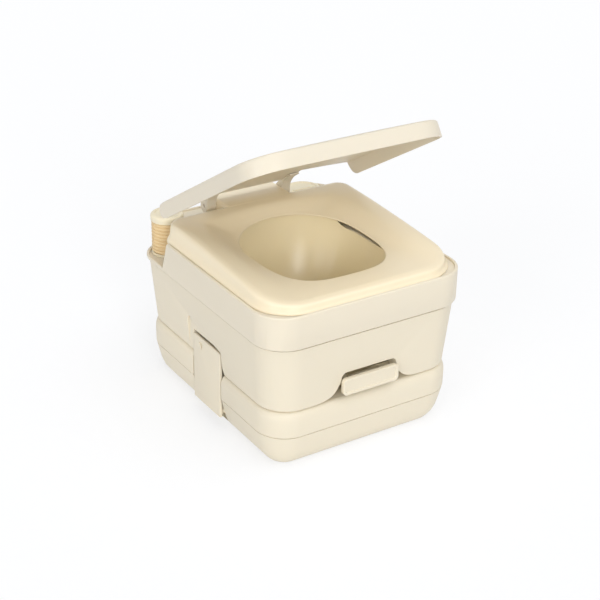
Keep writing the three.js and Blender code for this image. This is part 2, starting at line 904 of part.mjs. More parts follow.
const liningOutline = inset(bandOutline, rimWidth * 0.75);
const pocketFoot = slab(spigotOutline, pumpFloor - deckWall, spigotHead, innerCornerSteps);
const pocketLining = pocketBody(deckWall).intersect(pocketFoot.add(slab(liningOutline, bandBottom, deckTop)));
const lipTop = bandBottom + pocketLip;
const lipInner = inset(bandOutline, rimWidth - slideGap);
const lipRing = slab(inset(bandOutline, -overrun), bandBottom - overrun, lipTop)
  .subtract(slab(lipInner, bandBottom - overrun * 2, lipTop + overrun));
const pocketCut = pocketBody(0).subtract(lipRing);
const pumpOutletX = pumpX + pumpOutletOffset;
const pumpHoleFoot = pumpFloor - deckWall - overrun;

// Deck details: hinge lugs, filler neck and their bores
const hingeLugs = [-1, 1].map((side) => {
  const middle = side * lugPlace;
  const low = middle - lugWidth / 2;
  const high = middle + lugWidth / 2;
  return joined([
    barX(low, high, hingeY, hingeZ, lugRadius),
    block(low, high, hingeY - lugRadius, hingeY + lugRadius, deckTop - deckWall / 2, hingeZ),
  ]);
});
const fillerNeckRadius = fillerBore + fillerNeckWall;
const fillerNeckTop = deckTop + fillerNeckRise;
const fillerNeck = post(fillerX, fillerY, fillerNeckRadius, deckTop - deckWall / 2, fillerNeckTop);
const nozzleTop = deckTop - deckWall - nozzleTopGap;
const nozzleAngle = Math.atan2(nozzleY - openingMiddle, nozzleX);

function towardBowl(solid) {
  return solid.rotate([0, 0, (nozzleAngle * 180) / Math.PI]).translate([nozzleX, nozzleY, 0]);
}

const nozzleWindow = towardBowl(
  block(
    -nozzleReach,
    nozzleReach,
    -nozzleWidth / 2 - touchGap,
    nozzleWidth / 2 + touchGap,
    nozzleTop - nozzleHeight - touchGap,
    nozzleTop + touchGap,
  ),
);
const deckBody = without(
  joined([
    bandShell,
    flangeRing,
    spigot,
    bowlSkin,
    outletPipe,
    outletCollar,
    pocketLining,
    ...hingeLugs,
    fillerNeck,
  ]),
  [
    bowlHollow,
    outletBore,
    pocketCut,
    nozzleWindow,
    post(fillerX, fillerY, fillerBore, deckTop - deckWall - overrun, fillerNeckTop + overrun),
    post(pumpX, pumpY, pumpSpigotRadius + touchGap, pumpHoleFoot, pumpFloor + overrun, smallSides),
    post(pumpOutletX, pumpY, pumpOutletRadius + touchGap, pumpHoleFoot, pumpFloor + overrun, smallSides),
    barX(-lidWidth / 2, lidWidth / 2, hingeY, hingeZ, hingePinRadius + hingePinGap),
  ],
);
piece('bowl_deck', deckBody, creamBand);

// Seat: a moulded shell, high at the rear, dished towards its opening
const seatHalf = seatWidth / 2;
const seatFront = -bandDepth / 2 + (bandWidth - seatWidth) / 2;
const seatFoot = deckTop + padThick * 0.15;
const seatOutline = outline(seatHalf, seatFront, seatRear, seatFrontCorner, seatRearCorner);

// Crown height along the seat: level at the hinge, falling away faster near the front
const crownShares = [
  [0, 0],
  [0.055, 0.1],
  [0.12, 0.24],
  [0.21, 0.45],
  [0.37, 0.64],
  [0.53, 0.79],
  [0.7, 0.92],
  [0.85, 0.98],
  [1, 1],
];

function shareBetween(table, at) {
  const value = THREE.MathUtils.clamp(at, table[0][0], table[table.length - 1][0]);
  const next = Math.max(table.findIndex(([start]) => start >= value), 1);
  const [aLow, bLow] = table[next - 1];
  const [aHigh, bHigh] = table[next];
  return THREE.MathUtils.mapLinear(value, aLow, aHigh, bLow, bHigh);
}

function crownAt(y) {
  const share = shareBetween(crownShares, (y - seatFront) / (seatRear - seatFront));
  return THREE.MathUtils.lerp(seatFrontTop, seatRearTop, share);
}

function lipAt(angle) {
  const end = Math.sin(angle) < 0 ? lipFront : lipRear;
  return THREE.MathUtils.lerp(lipSide, end, Math.sin(angle) ** 2);
}

// Outer wall of the seat as shares of its height and of its shoulder width
const seatShoulder = 16;
const seatWallShares = [
  [0, 0],
  [0.12, 0.015],
  [0.33, 0.235],
  [0.72, 0.34],
  [0.87, 0.45],
  [0.95, 0.63],
  [1, 1],
];
// Dish from the shoulder to the lip as shares of the way in and of the fall
const seatDishShares = [
  [0.22, 0.015],
  [0.42, 0.09],
  [0.58, 0.28],
  [0.75, 0.58],
  [0.9, 0.86],
  [1, 1],
];

function seatRing(outer, heightAt) {
  return outer.map((point) => new THREE.Vector3(point.x, point.y, heightAt(point)));
}

function seatSkin(thick) {
  const foot = thick > 0 ? seatFoot - overrun : seatFoot;
  const outerAt = (distance) => outlinePoints(inset(seatOutline, distance + thick), cornerSteps, sideSteps);
  const keepRow = (row, index) => thick === 0 || index % 2 === 0;
  const wallRings = seatWallShares.filter(keepRow).map(([heightShare, inShare]) => seatRing(
    outerAt(inShare * seatShoulder),
    (point) => THREE.MathUtils.lerp(foot, crownAt(point.y) - thick, heightShare),
  ));
  const shoulder = outerAt(seatShoulder);
  const angles = shoulder.map((point) => Math.atan2(point.y - openingMiddle, point.x));
  const dishRing = (wayShare, fallShare) => shoulder.map((point, index) => {
    const lip = openingPoint(angles[index], thick);
    const flat = point.clone().lerp(lip, wayShare);
    const crown = crownAt(point.y) - thick;
    const height = THREE.MathUtils.lerp(crown, lipAt(angles[index]) - thick * 0.6, fallShare);
    return new THREE.Vector3(flat.x, flat.y, height);
  });
  const dishRings = seatDishShares.filter(keepRow).map((row) => dishRing(...row));
  const lipRing = shoulder.map((point, index) => {
    const lip = openingPoint(angles[index], thick);
    return new THREE.Vector3(lip.x, lip.y, lipFoot);
  });
  const innerFoot = shoulder.map((point, index) => {
    const lip = openingPoint(angles[index], thick);
    return new THREE.Vector3(lip.x, lip.y, foot);
  });
  const rings = [...wallRings, ...dishRings, ...(thick > 0 ? [] : [lipRing]), innerFoot];
  return loft(rings, true);
}

// The skirt under the lip ends at the lip, so the shell is open to the bowl
function seatSkirtCut() {
  const count = bowlSides * 2;
  const angles = Array.from({ length: count }, (unused, index) => (2 * Math.PI * index) / count);
  const ringOf = (height) => angles.map((angle) => {
    const flat = openingPoint(angle, seatSkirtThick);
    return new THREE.Vector3(flat.x, flat.y, height);
  });
  return loft([ringOf(seatFoot - overrun), ringOf(lipFoot)]);
}

// Rounding of the hump's top as shares of its round: how far in, how far down
const humpRoundShares = [
  [0, 0.7],
  [0.25, 0.22],
  [0.9, 0],
];

function humpBody(low, high, front, back) {
  const at = (inward, height) => {
    const shape = outline(humpHalf - inward, front, back - inward, humpRound);
    return ringAt(shape, height, humpCornerSteps);
  };
  return loft([
    at(0, low),
    ...humpRoundShares.map(([inShare, downShare]) => at(humpRound * inShare, high - humpRound * downShare)),
  ]);
}

const humpFront = seatRear - seatShoulder * 1.2;
const humpRear = hingeY + humpBack;
const humpLow = hingeZ - lugRadius * 2;
const humpShell = humpBody(humpLow, humpTop, humpFront, humpRear);
const humpRoof = hingeZ + lugRadius + slideGap;
const humpHollow = block(
  -humpHalf + humpCheek,
  humpHalf - humpCheek,
  seatRear - seatShell,
  humpRear + overrun,
  humpLow - overrun,
  humpRoof,
);

// Four soft pads stand between the deck and the seat's moulded bosses
const padTop = deckTop + padThick;
const padX = openingHalf * padPlaceShare;
const padPlaces = [
  ['seat_pad_front_left', -padX, seatFront + padInset],
  ['seat_pad_front_right', padX, seatFront + padInset],
  ['seat_pad_rear_left', -padX, seatRear - padInset],
  ['seat_pad_rear_right', padX, seatRear - padInset],
];
const padBosses = padPlaces.map(([, x, y]) => block(
  x - padLength / 2,
  x + padLength / 2,
  y - padWidth / 2,
  y + padWidth / 2,
  padTop + touchGap,
  crownAt(y) - seatShell / 2,
));
const seatBody = without(
  joined([seatSkin(0).subtract(seatSkin(seatShell)).subtract(seatSkirtCut()), humpShell, ...padBosses]),
  [humpHollow, barX(-lidWidth / 2, lidWidth / 2, hingeY, hingeZ, hingePinRadius + hingePinGap)],
);
piece('seat', seatBody, creamSeat);
padPlaces.forEach(([name, x, y]) => {
  const halfLength = padLength / 2;
  const halfWidth = padWidth / 2;
  const plan = roundedPairs(x - halfLength, x + halfLength, y - halfWidth, y + halfWidth, padCorner);
  piece(name, pushZ(plan, deckTop + touchGap, padTop), darkRubber);
});

// Hinge pin through the lid knuckles, the seat's cheeks and the deck lugs
const knuckleIn = humpHalf + slideGap;
const knuckleOut = knuckleIn + knuckleWidth;
const pinHalf = knuckleOut - hingePinRadius;
piece('hinge_pin', barX(-pinHalf, pinHalf, hingeY, hingeZ, hingePinRadius), brightSteel);

// Lid, drawn closed about the hinge and then swung half open
const lidGroup = new THREE.Group();
lidGroup.position.set(0, hingeY, hingeZ);
lidGroup.rotation.x = -lidOpenAngle;
group.add(lidGroup);
const lidFront = -lidReach;
const lidOutline = outline(lidWidth / 2, lidFront, -lidRearMiddle, lidCorner, lidEndCorner);

function lidCrownAt(point, grow) {
  const acrossShare = Math.min(Math.abs(point.x) / (lidWidth / 2), 1);
  const middle = (lidFront - lidRearMiddle) / 2;
  const alongShare = Math.min(Math.abs(point.y - middle) / ((lidReach - lidRearMiddle) / 2), 1);
  return lidEdgeHigh - grow + lidCrown * (1 - acrossShare ** 2) * (1 - alongShare ** 2);
}

// Crown rings as shares of the way to the middle
const lidCrownShares = [0.22, 0.5, 0.8];

function lidBody(grow) {
  const shape = inset(lidOutline, grow);
  const low = grow > 0 ? lidSkirtLow - overrun : lidSkirtLow;
  const at = (distance, heightOf) => outlinePoints(inset(shape, distance), cornerSteps, sideSteps)
    .map((point) => new THREE.Vector3(point.x, point.y, heightOf(point)));
  const high = lidEdgeHigh - grow;
  const rings = [
    at(0, () => low),
    at(lidEdgeRound * 0.2, () => high - lidEdgeRound),
    at(lidEdgeRound * 0.45, () => high - lidEdgeRound * 0.45),
    at(lidEdgeRound, () => high),
  ];
  lidCrownShares.forEach((share) => {
    rings.push(outlinePoints(inset(shape, lidEdgeRound), cornerSteps, sideSteps).map((point) => {
      const centre = new THREE.Vector2(0, (lidFront - lidRearMiddle) / 2);
      const flat = point.clone().lerp(centre, share * 0.965);
      return new THREE.Vector3(flat.x, flat.y, lidCrownAt(flat, grow));
    }));
  });
  return loft(rings);
}

// The rear edge: open over the hump, a round nose on the pump side, a slant on the filler side
const lidSlope = lidEdgeHigh - lidSkirtLow;
const noseRadius = lidSlope / 2;
const noseSteps = 8;
const nosePoints = [];
for (let i = 0; i <= noseSteps; i += 1) {
  const angle = -Math.PI / 2 + (Math.PI * i) / noseSteps;
  nosePoints.push([
    -lidRearLeft - noseRadius + noseRadius * Math.cos(angle),
    lidSkirtLow + noseRadius + noseRadius * Math.sin(angle),
  ]);
}
const lidRearCuts = [
  pushX(
    [
      [-lidRearRight - lidRearSlant - overrun * 0.4, lidSkirtLow - overrun],
      [overrun, lidSkirtLow - overrun],
      [overrun, lidEdgeHigh + lidCrown + overrun],
      [-lidRearRight, lidEdgeHigh + lidCrown + overrun],
      [-lidRearRight, lidSkirtLow + lidSlope * 0.7],
      [-lidRearRight - lidRearSlant * 0.25, lidSkirtLow + lidSlope * 0.35],
      [-lidRearRight - lidRearSlant * 0.7, lidSkirtLow + lidSlope * 0.08],
      [-lidRearRight - lidRearSlant, lidSkirtLow],
    ],
    knuckleOut + touchGap,
    lidWidth,
  ),
  pushX(
    [
      [-lidRearLeft - noseRadius, lidSkirtLow - overrun],
      [overrun, lidSkirtLow - overrun],
      [overrun, lidEdgeHigh + lidCrown + overrun],
      [-lidRearLeft - noseRadius, lidEdgeHigh + lidCrown + overrun],
      ...[...nosePoints].reverse(),
    ],
    -lidWidth,
    -knuckleOut - touchGap,
  ),
  block(
    lidWall + slideGap - lidWidth / 2,
    lidWidth / 2 - lidWall - slideGap,
    -lidRearRight,
    overrun,
    lidSkirtLow - overrun,
    lidEdgeHigh - lidWall - slideGap,
  ),
];
const knuckleArm = [-1, 1].map((side) => {
  const low = side > 0 ? knuckleIn : -knuckleOut;
  const reach = lidRearMiddle + lidRearLeft;
  const points = [
    [-knuckleRadius * 0.92, -knuckleRadius * 0.35],
    [-knuckleRadius * 1.9, knuckleRadius * 0.6],
    [-reach, lidEdgeHigh - lidWall * 1.05],
    [-reach, lidEdgeHigh - lidWall * 0.2],
    [-lidRearMiddle, lidEdgeHigh],
    [-knuckleRadius * 0.4, knuckleRadius * 1.1],
    [knuckleRadius * 0.55, knuckleRadius * 0.75],
    [0, 0],
  ];
  const high = low + knuckleWidth;
  return pushX(points, low, high).add(barX(low, high, 0, 0, knuckleRadius, roundSides));
});
const lidShell = without(
  joined([without(lidBody(0).subtract(lidBody(lidWall)), lidRearCuts), ...knuckleArm]),
  [barX(-pinHalf - hingePinGap, pinHalf + hingePinGap, 0, 0, hingePinRadius + hingePinGap)],
);
piece('lid', lidShell, creamLid, lidGroup);

// Bellows pump: base, ribbed bellows, cap, suction tube, strainer and flush line
const pumpBaseTop = pumpFloor + touchGap + pumpBaseThick;
const pumpBore = pumpValleyRadius - pumpSkin;
const pumpSpigotFoot = pumpFloor - pumpSpigotDrop;
const pumpBase = without(
  joined([
    turned(pumpX, pumpY, [
      [0, pumpSpigotFoot],
      [pumpSpigotRadius, pumpSpigotFoot],
      [pumpSpigotRadius, pumpFloor + touchGap],
      [pumpRadius + pumpBaseLip, pumpFloor + touchGap],
      [pumpRadius + pumpBaseLip, pumpBaseTop - pumpBaseRound],
      [pumpRadius + pumpBaseLip - pumpBaseRound, pumpBaseTop],
      [0, pumpBaseTop],
    ]),
    post(pumpOutletX, pumpY, pumpOutletRadius, pumpSpigotFoot, pumpBaseTop - pumpBaseRound, smallSides),
  ]),
  [
    post(pumpX, pumpY, pumpTubeBore, pumpSpigotFoot - overrun, pumpBaseTop + overrun, smallSides),
    post(pumpOutletX, pumpY, pumpOutletBore, pumpSpigotFoot - overrun, pumpBaseTop + overrun, smallSides),
  ],
);
piece('pump_base', pumpBase, creamShell);

// One rib as shares of its reach and of its pitch
const ribShares = [
  [0, 0],
  [0.7, 0.18],
  [1, 0.38],
  [1, 0.62],
  [0.7, 0.82],
];

function bellowsProfile() {
  const low = pumpBaseTop + touchGap;
  const high = pumpCapBottom - touchGap;
  const pitch = (high - low) / pumpRibs;
  const outer = [];
  const inner = [];
  for (let rib = 0; rib < pumpRibs; rib += 1) {
    const start = low + rib * pitch;
    ribShares.forEach(([reachShare, heightShare]) => {
      const reach = THREE.MathUtils.lerp(pumpValleyRadius, pumpRadius, reachShare);
      outer.push([reach, start + pitch * heightShare]);
    });
    inner.push([pumpBore, start]);
    inner.push([pumpRadius - pumpSkin, start + pitch / 2]);
  }
  outer.push([pumpValleyRadius, high]);
  inner.push([pumpBore, high]);
  return [...outer, ...inner.reverse(), outer[0]];
}
piece('pump_bellows', turned(pumpX, pumpY, bellowsProfile()), tanRubber);
const pumpCapTop = pumpCapBottom + pumpCapThick;
piece(
  'pump_cap',
  turned(pumpX, pumpY, [
    [0, pumpCapBottom],
    [pumpCapRadius - pumpSkin, pumpCapBottom],
    [pumpCapRadius, pumpCapBottom + pumpCapThick * 0.15],
    [pumpCapRadius, pumpCapBottom + pumpCapThick * 0.6],
    [pumpCapRadius - pumpSkin, pumpCapBottom + pumpCapThick * 0.85],
    [pumpCapRadius - pumpSkin * 3, pumpCapTop],
    [pumpCapRadius - pumpSkin * 4, pumpCapTop - pumpSkin],
    [0, pumpCapTop - pumpSkin * 1.4],
  ]),
  creamBand,
);
const strainerFoot = waterBase + tankWall + touchGap;
const strainerTop = strainerFoot + strainerHeight;
const strainerSlots = [0, 60, 120].map((turn) => {
  const slot = block(
    -strainerRadius - overrun,
    strainerRadius + overrun,
    -strainerSlotWidth / 2,
    strainerSlotWidth / 2,
    strainerFoot - overrun,
    strainerFoot + strainerHeight * 0.55,
  );
  return slot.rotate([0, 0, turn]).translate([pumpX, pumpY, 0]);
});
piece(
  'pump_strainer',
  without(
    turned(pumpX, pumpY, [
      [pumpTubeBore, strainerFoot],
      [strainerRadius, strainerFoot],
      [strainerRadius, strainerTop - pumpSkin],
      [pumpTubeRadius + pumpSkin, strainerTop],
      [pumpTubeBore, strainerTop],
      [pumpTubeBore, strainerFoot],
    ], smallSides),
    strainerSlots,
  ),
  greyPlastic,
);
const suctionTop = pumpSpigotFoot - touchGap;
piece(
  'pump_suction_tube',
  washer(pumpX, pumpY, pumpTubeBore, pumpTubeRadius, strainerTop + touchGap, suctionTop, smallSides),
  greyPlastic,
);

// Flush nozzle under the seat lip and the tube that feeds it behind the bowl
const nozzleLow = nozzleTop - nozzleHeight;
const nozzleHalf = nozzleWidth / 2;
const nozzleOuter = block(-nozzleReach * 0.2, nozzleReach, -nozzleHalf, nozzleHalf, nozzleLow, nozzleTop);
const nozzleInner = block(
  -nozzleReach,
  nozzleReach - nozzleWall,
  -nozzleWidth / 2 + nozzleWall,
  nozzleWidth / 2 - nozzleWall,
  nozzleLow + nozzleWall,
  nozzleTop - nozzleWall,
);
const nozzleStubEnd = nozzleReach + nozzleStubLength;
const nozzleMiddle = (nozzleLow + nozzleTop) / 2;
const nozzleStub = barX(nozzleReach - nozzleWall, nozzleStubEnd, 0, nozzleMiddle, nozzleHeight / 2);
const nozzleBoreStart = nozzleReach - nozzleWall * 2;
const nozzleBore = barX(nozzleBoreStart, nozzleStubEnd + overrun, 0, nozzleMiddle, pumpOutletBore);
piece(
  'flush_nozzle',
  towardBowl(without(joined([nozzleOuter, nozzleStub]), [nozzleInner, nozzleBore])),
  creamBand,
);

// Point under the deck on the nozzle's own line, a distance out from the nozzle
function outFromNozzle(distance) {
  const x = nozzleX + Math.cos(nozzleAngle) * distance;
  const y = nozzleY + Math.sin(nozzleAngle) * distance;
  return new THREE.Vector3(x, y, nozzleMiddle);
}

const tubeStart = new THREE.Vector3(pumpOutletX, pumpY, pumpSpigotFoot - touchGap);
const tubeEnd = outFromNozzle(nozzleStubEnd + touchGap);
const tubeLow = tubeStart.z - tubeDip;
const behindBowl = openingRear + tubeBowlGap;
const tubePath = new THREE.CatmullRomCurve3([
  tubeStart,
  tubeStart.clone().setZ(tubeLow + tubeDip / 2),
  new THREE.Vector3(pumpOutletX + tubeDip, behindBowl + tubeDip * 2, tubeLow),
  new THREE.Vector3(0, behindBowl, (tubeLow + nozzleMiddle) / 2),
  outFromNozzle(nozzleStubEnd + tubeDip * 2).setZ(nozzleMiddle - tubeDip / 2),
  outFromNozzle(nozzleStubEnd + tubeDip),
  tubeEnd,
]);

const tubeSection = new THREE.Shape();
tubeSection.absarc(0, 0, pumpOutletRadius, 0, Math.PI * 2);
const tubeHole = new THREE.Path();
tubeHole.absarc(0, 0, pumpOutletBore, 0, Math.PI * 2, true);
tubeSection.holes.push(tubeHole);
const tubeGeometry = new THREE.ExtrudeGeometry(tubeSection, {
  steps: tubeSteps,
  curveSegments: tubeSides,
  extrudePath: tubePath,
  bevelEnabled: false,
});
piece('flush_tube', solidOf(tubeGeometry), greyPlastic);

// Filler cap with grip ribs over its neck, and its flat gasket
const fillerSeat = fillerNeckTop + touchGap;
const gasketTop = fillerSeat + gasketThick;
const fillerCapTop = deckTop + touchGap + fillerCapHeight;
const grips = Array.from({ length: gripRibs }, (unused, index) => {
  const angle = (2 * Math.PI * index) / gripRibs;
  return post(
    fillerX + fillerCapRadius * Math.cos(angle),
    fillerY + fillerCapRadius * Math.sin(angle),
    gripDepth,
    deckTop + touchGap - overrun,
    fillerCapTop - fillerCapWall,
    8,
  );
});
piece(
  'filler_cap',
  without(
    turned(fillerX, fillerY, [
      [0, gasketTop + touchGap],
      [fillerNeckRadius + touchGap, gasketTop + touchGap],
      [fillerNeckRadius + touchGap, deckTop + touchGap],
      [fillerCapRadius, deckTop + touchGap],
      [fillerCapRadius, fillerCapTop - fillerCapWall * 0.6],
      [fillerCapRadius - fillerCapWall * 0.6, fillerCapTop],
      [0, fillerCapTop],
    ]),
    grips,
  ),
  creamBand,
);
piece(
  'filler_gasket',
  washer(fillerX, fillerY, fillerBore, fillerNeckRadius, fillerSeat, gasketTop),
  darkRubber,
);

// Slide valve: body with its neck in the waste tank, blade, cover and seals
function valvePlan(grow) {
  return roundedPairs(-valveHalf + grow, valveHalf - grow, valveFront + grow, valveRear - grow, valveWall);
}
const lowerSealInner = outletRadius + outletWall + touchGap;
const valveSides = pushZ(valvePlan(0), valveFoot + sealThick + slideGap, coverLow - touchGap)
  .subtract(pushZ(valvePlan(valveWall), valveFoot - overrun, valveFoot + valveStandoff));
const bladeChannel = block(
  -bladeWidth / 2 - touchGap,
  bladeWidth / 2 + touchGap,
  valveFront - overrun,
  bladeRear + touchGap,
  bladeFloor,
  coverHigh,
);
const valveFeet = [[-1, -1], [-1, 1], [1, -1], [1, 1]].map(([sideX, sideY]) => {
  const x = sideX * (valveHalf - screwHold / 2);
  const y = sideY > 0 ? valveRear - screwHold / 2 : valveFront + screwHold / 2;
  return post(x, y, screwHold / 2, valveFoot, bladeFloor - valveDeck / 2, smallSides);
});
const screwPlaces = [[-1, -1], [-1, 1], [1, -1], [1, 1]].map(([sideX, sideY]) => [
  sideX * (valveHalf - valveWall / 2),
  sideY > 0 ? valveRear - valveEndWall : valveFront + valveEndWall,
]);
const screwFoot = coverLow - touchGap - screwHold;
const screwHoles = screwPlaces.map(([x, y]) => (
  post(x, y, screwRadius + touchGap, screwFoot - touchGap, coverHigh + overrun, smallSides)
));
const valveBody = without(
  joined([
    valveSides,
    post(0, outletY, valveNeckRadius, wasteHeight - tankWall, bladeFloor),
    washer(
      0,
      outletY,
      outletRadius + outletWall / 2,
      valveNeckRadius + sealWidth + outletWall,
      valveFoot + sealThick + touchGap,
      bladeFloor,
    ),
    ...valveFeet,
  ]),
  [post(0, outletY, outletRadius, wasteHeight - overrun * 2, coverHigh), bladeChannel, ...screwHoles],
);
piece('valve_body', valveBody, greyPlastic);
piece(
  'valve_seal_lower',
  washer(0, outletY, lowerSealInner, lowerSealInner + sealWidth, valveFoot, valveFoot + sealThick),
  darkRubber,
);
const valveCover = without(
  pushZ(valvePlan(0), coverLow, coverHigh),
  [post(0, outletY, outletRadius, coverLow - overrun, coverHigh + overrun), ...screwHoles],
);
piece('valve_cover', valveCover, greyPlastic);
piece(
  'valve_seal_upper',
  washer(0, outletY, outletRadius, outletRadius + sealWidth, sealSeat, sealTop),
  darkRubber,
);

// Blade and stem; its front end sits in the handle's boss
const handleBack = -handleFace + handleThick;
const bossBack = handleBack + handleBossDepth;
const pinY = (handleBack + bossBack) / 2;
const stemFront = handleBack + touchGap;
const bladePlan = roundedPairs(-bladeWidth / 2, bladeWidth / 2, bladeFront, bladeRear, bladeLap / 2);
const blade = joined([
  pushZ(bladePlan, bladeLow, bladeHigh),
  block(-stemWidth / 2, stemWidth / 2, stemFront, bladeFront + bladeLap, bladeLow, bladeHigh),
]).subtract(post(0, pinY, handlePinRadius + touchGap, bladeLow - overrun, bladeHigh + overrun, smallSides));
piece('valve_blade', blade, greyPlastic);

// Handle: a rounded plate with a raised border round its finger panel
const handleMiddle = (bladeLow + bladeHigh) / 2;
const handleLow = handleMiddle - handleHeight / 2;
const handleHigh = handleMiddle + handleHeight / 2;
const handlePlate = pushY(
  roundedPairs(-handleWidth / 2, handleWidth / 2, handleLow, handleHigh, handleCorner),
  -handleFace,
  handleBack,
);
const handlePanel = pushY(
  roundedPairs(
    -handleWidth / 2 + handleBorder,
    handleWidth / 2 - handleBorder,
    handleLow + handleBorder,
    handleHigh - handleBorder,
    handleCorner * 0.5,
  ),
  -handleFace - overrun,
  -handleFace + handlePanelDepth,
);
const handleBoss = block(
  -handleBossWidth / 2,
  handleBossWidth / 2,
  handleBack - handleThick * 0.3,
  bossBack,
  handleMiddle - handleBossHeight / 2,
  handleMiddle + handleBossHeight / 2,
);
const stemSlot = block(
  -stemWidth / 2 - touchGap,
  stemWidth / 2 + touchGap,
  handleBack,
  bossBack + overrun,
  bladeLow - touchGap,
  bladeHigh + touchGap,
);
const pinLow = handleMiddle - handleBossHeight / 2;
const pinHigh = handleMiddle + handleBossHeight / 2;
piece(
  'valve_handle',
  without(joined([handlePlate, handleBoss]), [
    handlePanel,
    stemSlot,
    post(0, pinY, handlePinRadius + touchGap, pinLow - overrun, pinHigh + overrun, smallSides),
  ]),
  creamShell,
);
piece('valve_handle_pin', post(0, pinY, handlePinRadius, pinLow, pinHigh, smallSides), brightSteel);

// Four screws hold the cover on the body
screwPlaces.forEach(([x, y], index) => {
  const seat = coverHigh + touchGap;
  const head = seat + screwHeadThick;
  const profile = [
    [0, screwFoot],
    [screwRadius, screwFoot],
    [screwRadius, seat],
    [screwHeadRadius, seat],
    [screwHeadRadius, head - screwHeadRound],
    [screwHeadRadius - screwHeadRound, head],
    [0, head],
  ];
  piece(`valve_screw_${index + 1}`, turned(x, y, profile, smallSides), brightSteel);
});
piece(
  'bowl_outlet_seal',
  washer(
    0,
    outletY,
    valveNeckRadius + touchGap,
    valveNeckRadius + sealWidth,
    valveRoof + tankWall + touchGap,
    sealShoulder - touchGap,
  ),
  darkRubber,
);

// Side latches: a plate hinged low on the waste tank, hooked over the water tank's ledge
function latchPiece(side) {
  const half = latchWidth / 2;
  const plate = pushX(
    roundedPairs(latchY - half, latchY + half, latchBottom, latchTop, latchThick * 0.8),
    side > 0 ? latchInner : -latchFace,
    side > 0 ? latchFace : -latchInner,
  );
  const earReach = latchHalfInside;
  const ears = [-1, 1].map((end) => {
    const low = end > 0 ? latchY + earReach - latchEarWidth : latchY - earReach;
    const xPlate = side * (latchInner + latchThick / 2);
    const bar = barY(low, low + latchEarWidth, side * latchPinX, latchPinZ, latchEarRadius);
    const web = block(
      Math.min(side * latchPinX, xPlate),
      Math.max(side * latchPinX, xPlate),
      low,
      low + latchEarWidth,
      latchPinZ - latchEarRadius,
      latchPinZ + latchEarRadius,
    );
    return bar.add(web);
  });
  const hookBottom = latchLedgeTop + slideGap;
  const hookPoints = [
    [latchInner + latchThick / 2, hookBottom],
    [latchInner + latchThick / 2, hookBottom + latchHookThick * 1.8],
    [latchHookTip, hookBottom + latchHookThick],
    [latchHookTip, hookBottom],
  ].map(([x, z]) => [side * x, z]);
  const ordered = side > 0 ? hookPoints : hookPoints.reverse();
  const hook = pushY(ordered, latchY - latchHookWidth / 2, latchY + latchHookWidth / 2);
  const arrowY = latchY + latchWidth * 0.2;
  const arrowZ = latchTop - latchArrow * 2.2;
  const arrow = pushX(
    [
      [arrowY - latchArrow / 2, arrowZ],
      [arrowY + latchArrow / 2, arrowZ],
      [arrowY, arrowZ + latchArrow],
    ],
    side > 0 ? latchFace - latchArrowDepth : -latchFace - overrun,
    side > 0 ? latchFace + overrun : -latchFace + latchArrowDepth,
  );
  const pinHole = barY(
    latchY - half - overrun,
    latchY + half + overrun,
    side * latchPinX,
    latchPinZ,
    latchPinRadius + touchGap,
  );
  return without(joined([plate, ...ears, hook]), [arrow, pinHole]);
}
[['left', -1], ['right', 1]].forEach(([name, side]) => {
  piece(`latch_${name}`, latchPiece(side), creamShell);
  const pinEnd = latchWidth / 2 + latchSideGap - touchGap;
  piece(
    `latch_pin_${name}`,
    barY(latchY - pinEnd, latchY + pinEnd, side * latchPinX, latchPinZ, latchPinRadius),
    brightSteel,
  );
});

// Pouring spout: a domed elbow that turns on the waste tank's neck, closed by a ribbed cap
const spoutPipe = spoutBore + spoutWall;
const spoutFoot = wasteHeight + touchGap;
const spoutShoulder = spoutNeckTop + touchGap + gasketThick + touchGap;
const spoutAxis = spoutShoulder + spoutPipe + spoutWall - slideGap;
const spoutSocket = spoutNeckRadius + touchGap;
const spoutEnd = spoutX - spoutReach;

function elbow(radius, foot, end) {
  const knuckle = radius + slideGap;
  const profile = [[0, foot], [knuckle, foot]];
  for (let i = 0; i < domeSteps; i += 1) {
    const angle = ((Math.PI / 2) * i) / domeSteps;
    profile.push([knuckle * Math.cos(angle), spoutAxis + knuckle * Math.sin(angle)]);
  }
  profile.push([0, spoutAxis + knuckle]);
  return turned(spoutX, spoutY, profile).add(barX(end, spoutX, spoutY, spoutAxis, radius, roundSides));
}
const spoutBody = without(
  joined([
    elbow(spoutPipe, spoutShoulder + spoutWall / 2, spoutEnd),
    turned(spoutX, spoutY, [
      [spoutSocket, spoutFoot],
      [spoutSocket + spoutWall, spoutFoot],
      [spoutSocket + spoutWall, spoutShoulder + spoutWall / 2],
      [spoutSocket + spoutWall / 2, spoutShoulder + spoutWall],
      [0, spoutShoulder + spoutWall],
      [0, spoutShoulder],
      [spoutSocket, spoutShoulder],
      [spoutSocket, spoutFoot],
    ]),
  ]),
  [elbow(spoutBore - slideGap, spoutShoulder - overrun, spoutEnd - overrun)],
);
piece('pour_spout', spoutBody, creamShell);
piece(
  'spout_gasket',
  washer(spoutX, spoutY, spoutBore, spoutNeckRadius, spoutNeckTop + touchGap, spoutShoulder - touchGap),
  darkRubber,
);
const spoutCapInner = spoutPipe + touchGap;
const capOpen = spoutEnd + spoutCapLength - spoutWall - touchGap;
const capClosed = spoutEnd - touchGap - spoutWall;
const capGrips = Array.from({ length: gripRibs }, (unused, index) => {
  const angle = (2 * Math.PI * index) / gripRibs;
  return barX(
    capClosed + spoutWall,
    capOpen + overrun,
    spoutY + spoutCapRadius * Math.cos(angle),
    spoutAxis + spoutCapRadius * Math.sin(angle),
    gripDepth,
    8,
  );
});
piece(
  'spout_cap',
  without(barX(capClosed, capOpen, spoutY, spoutAxis, spoutCapRadius, roundSides), [
    barX(capClosed + spoutWall, capOpen + overrun, spoutY, spoutAxis, spoutCapInner, roundSides),
    ...capGrips,
  ]),
  creamBand,
);

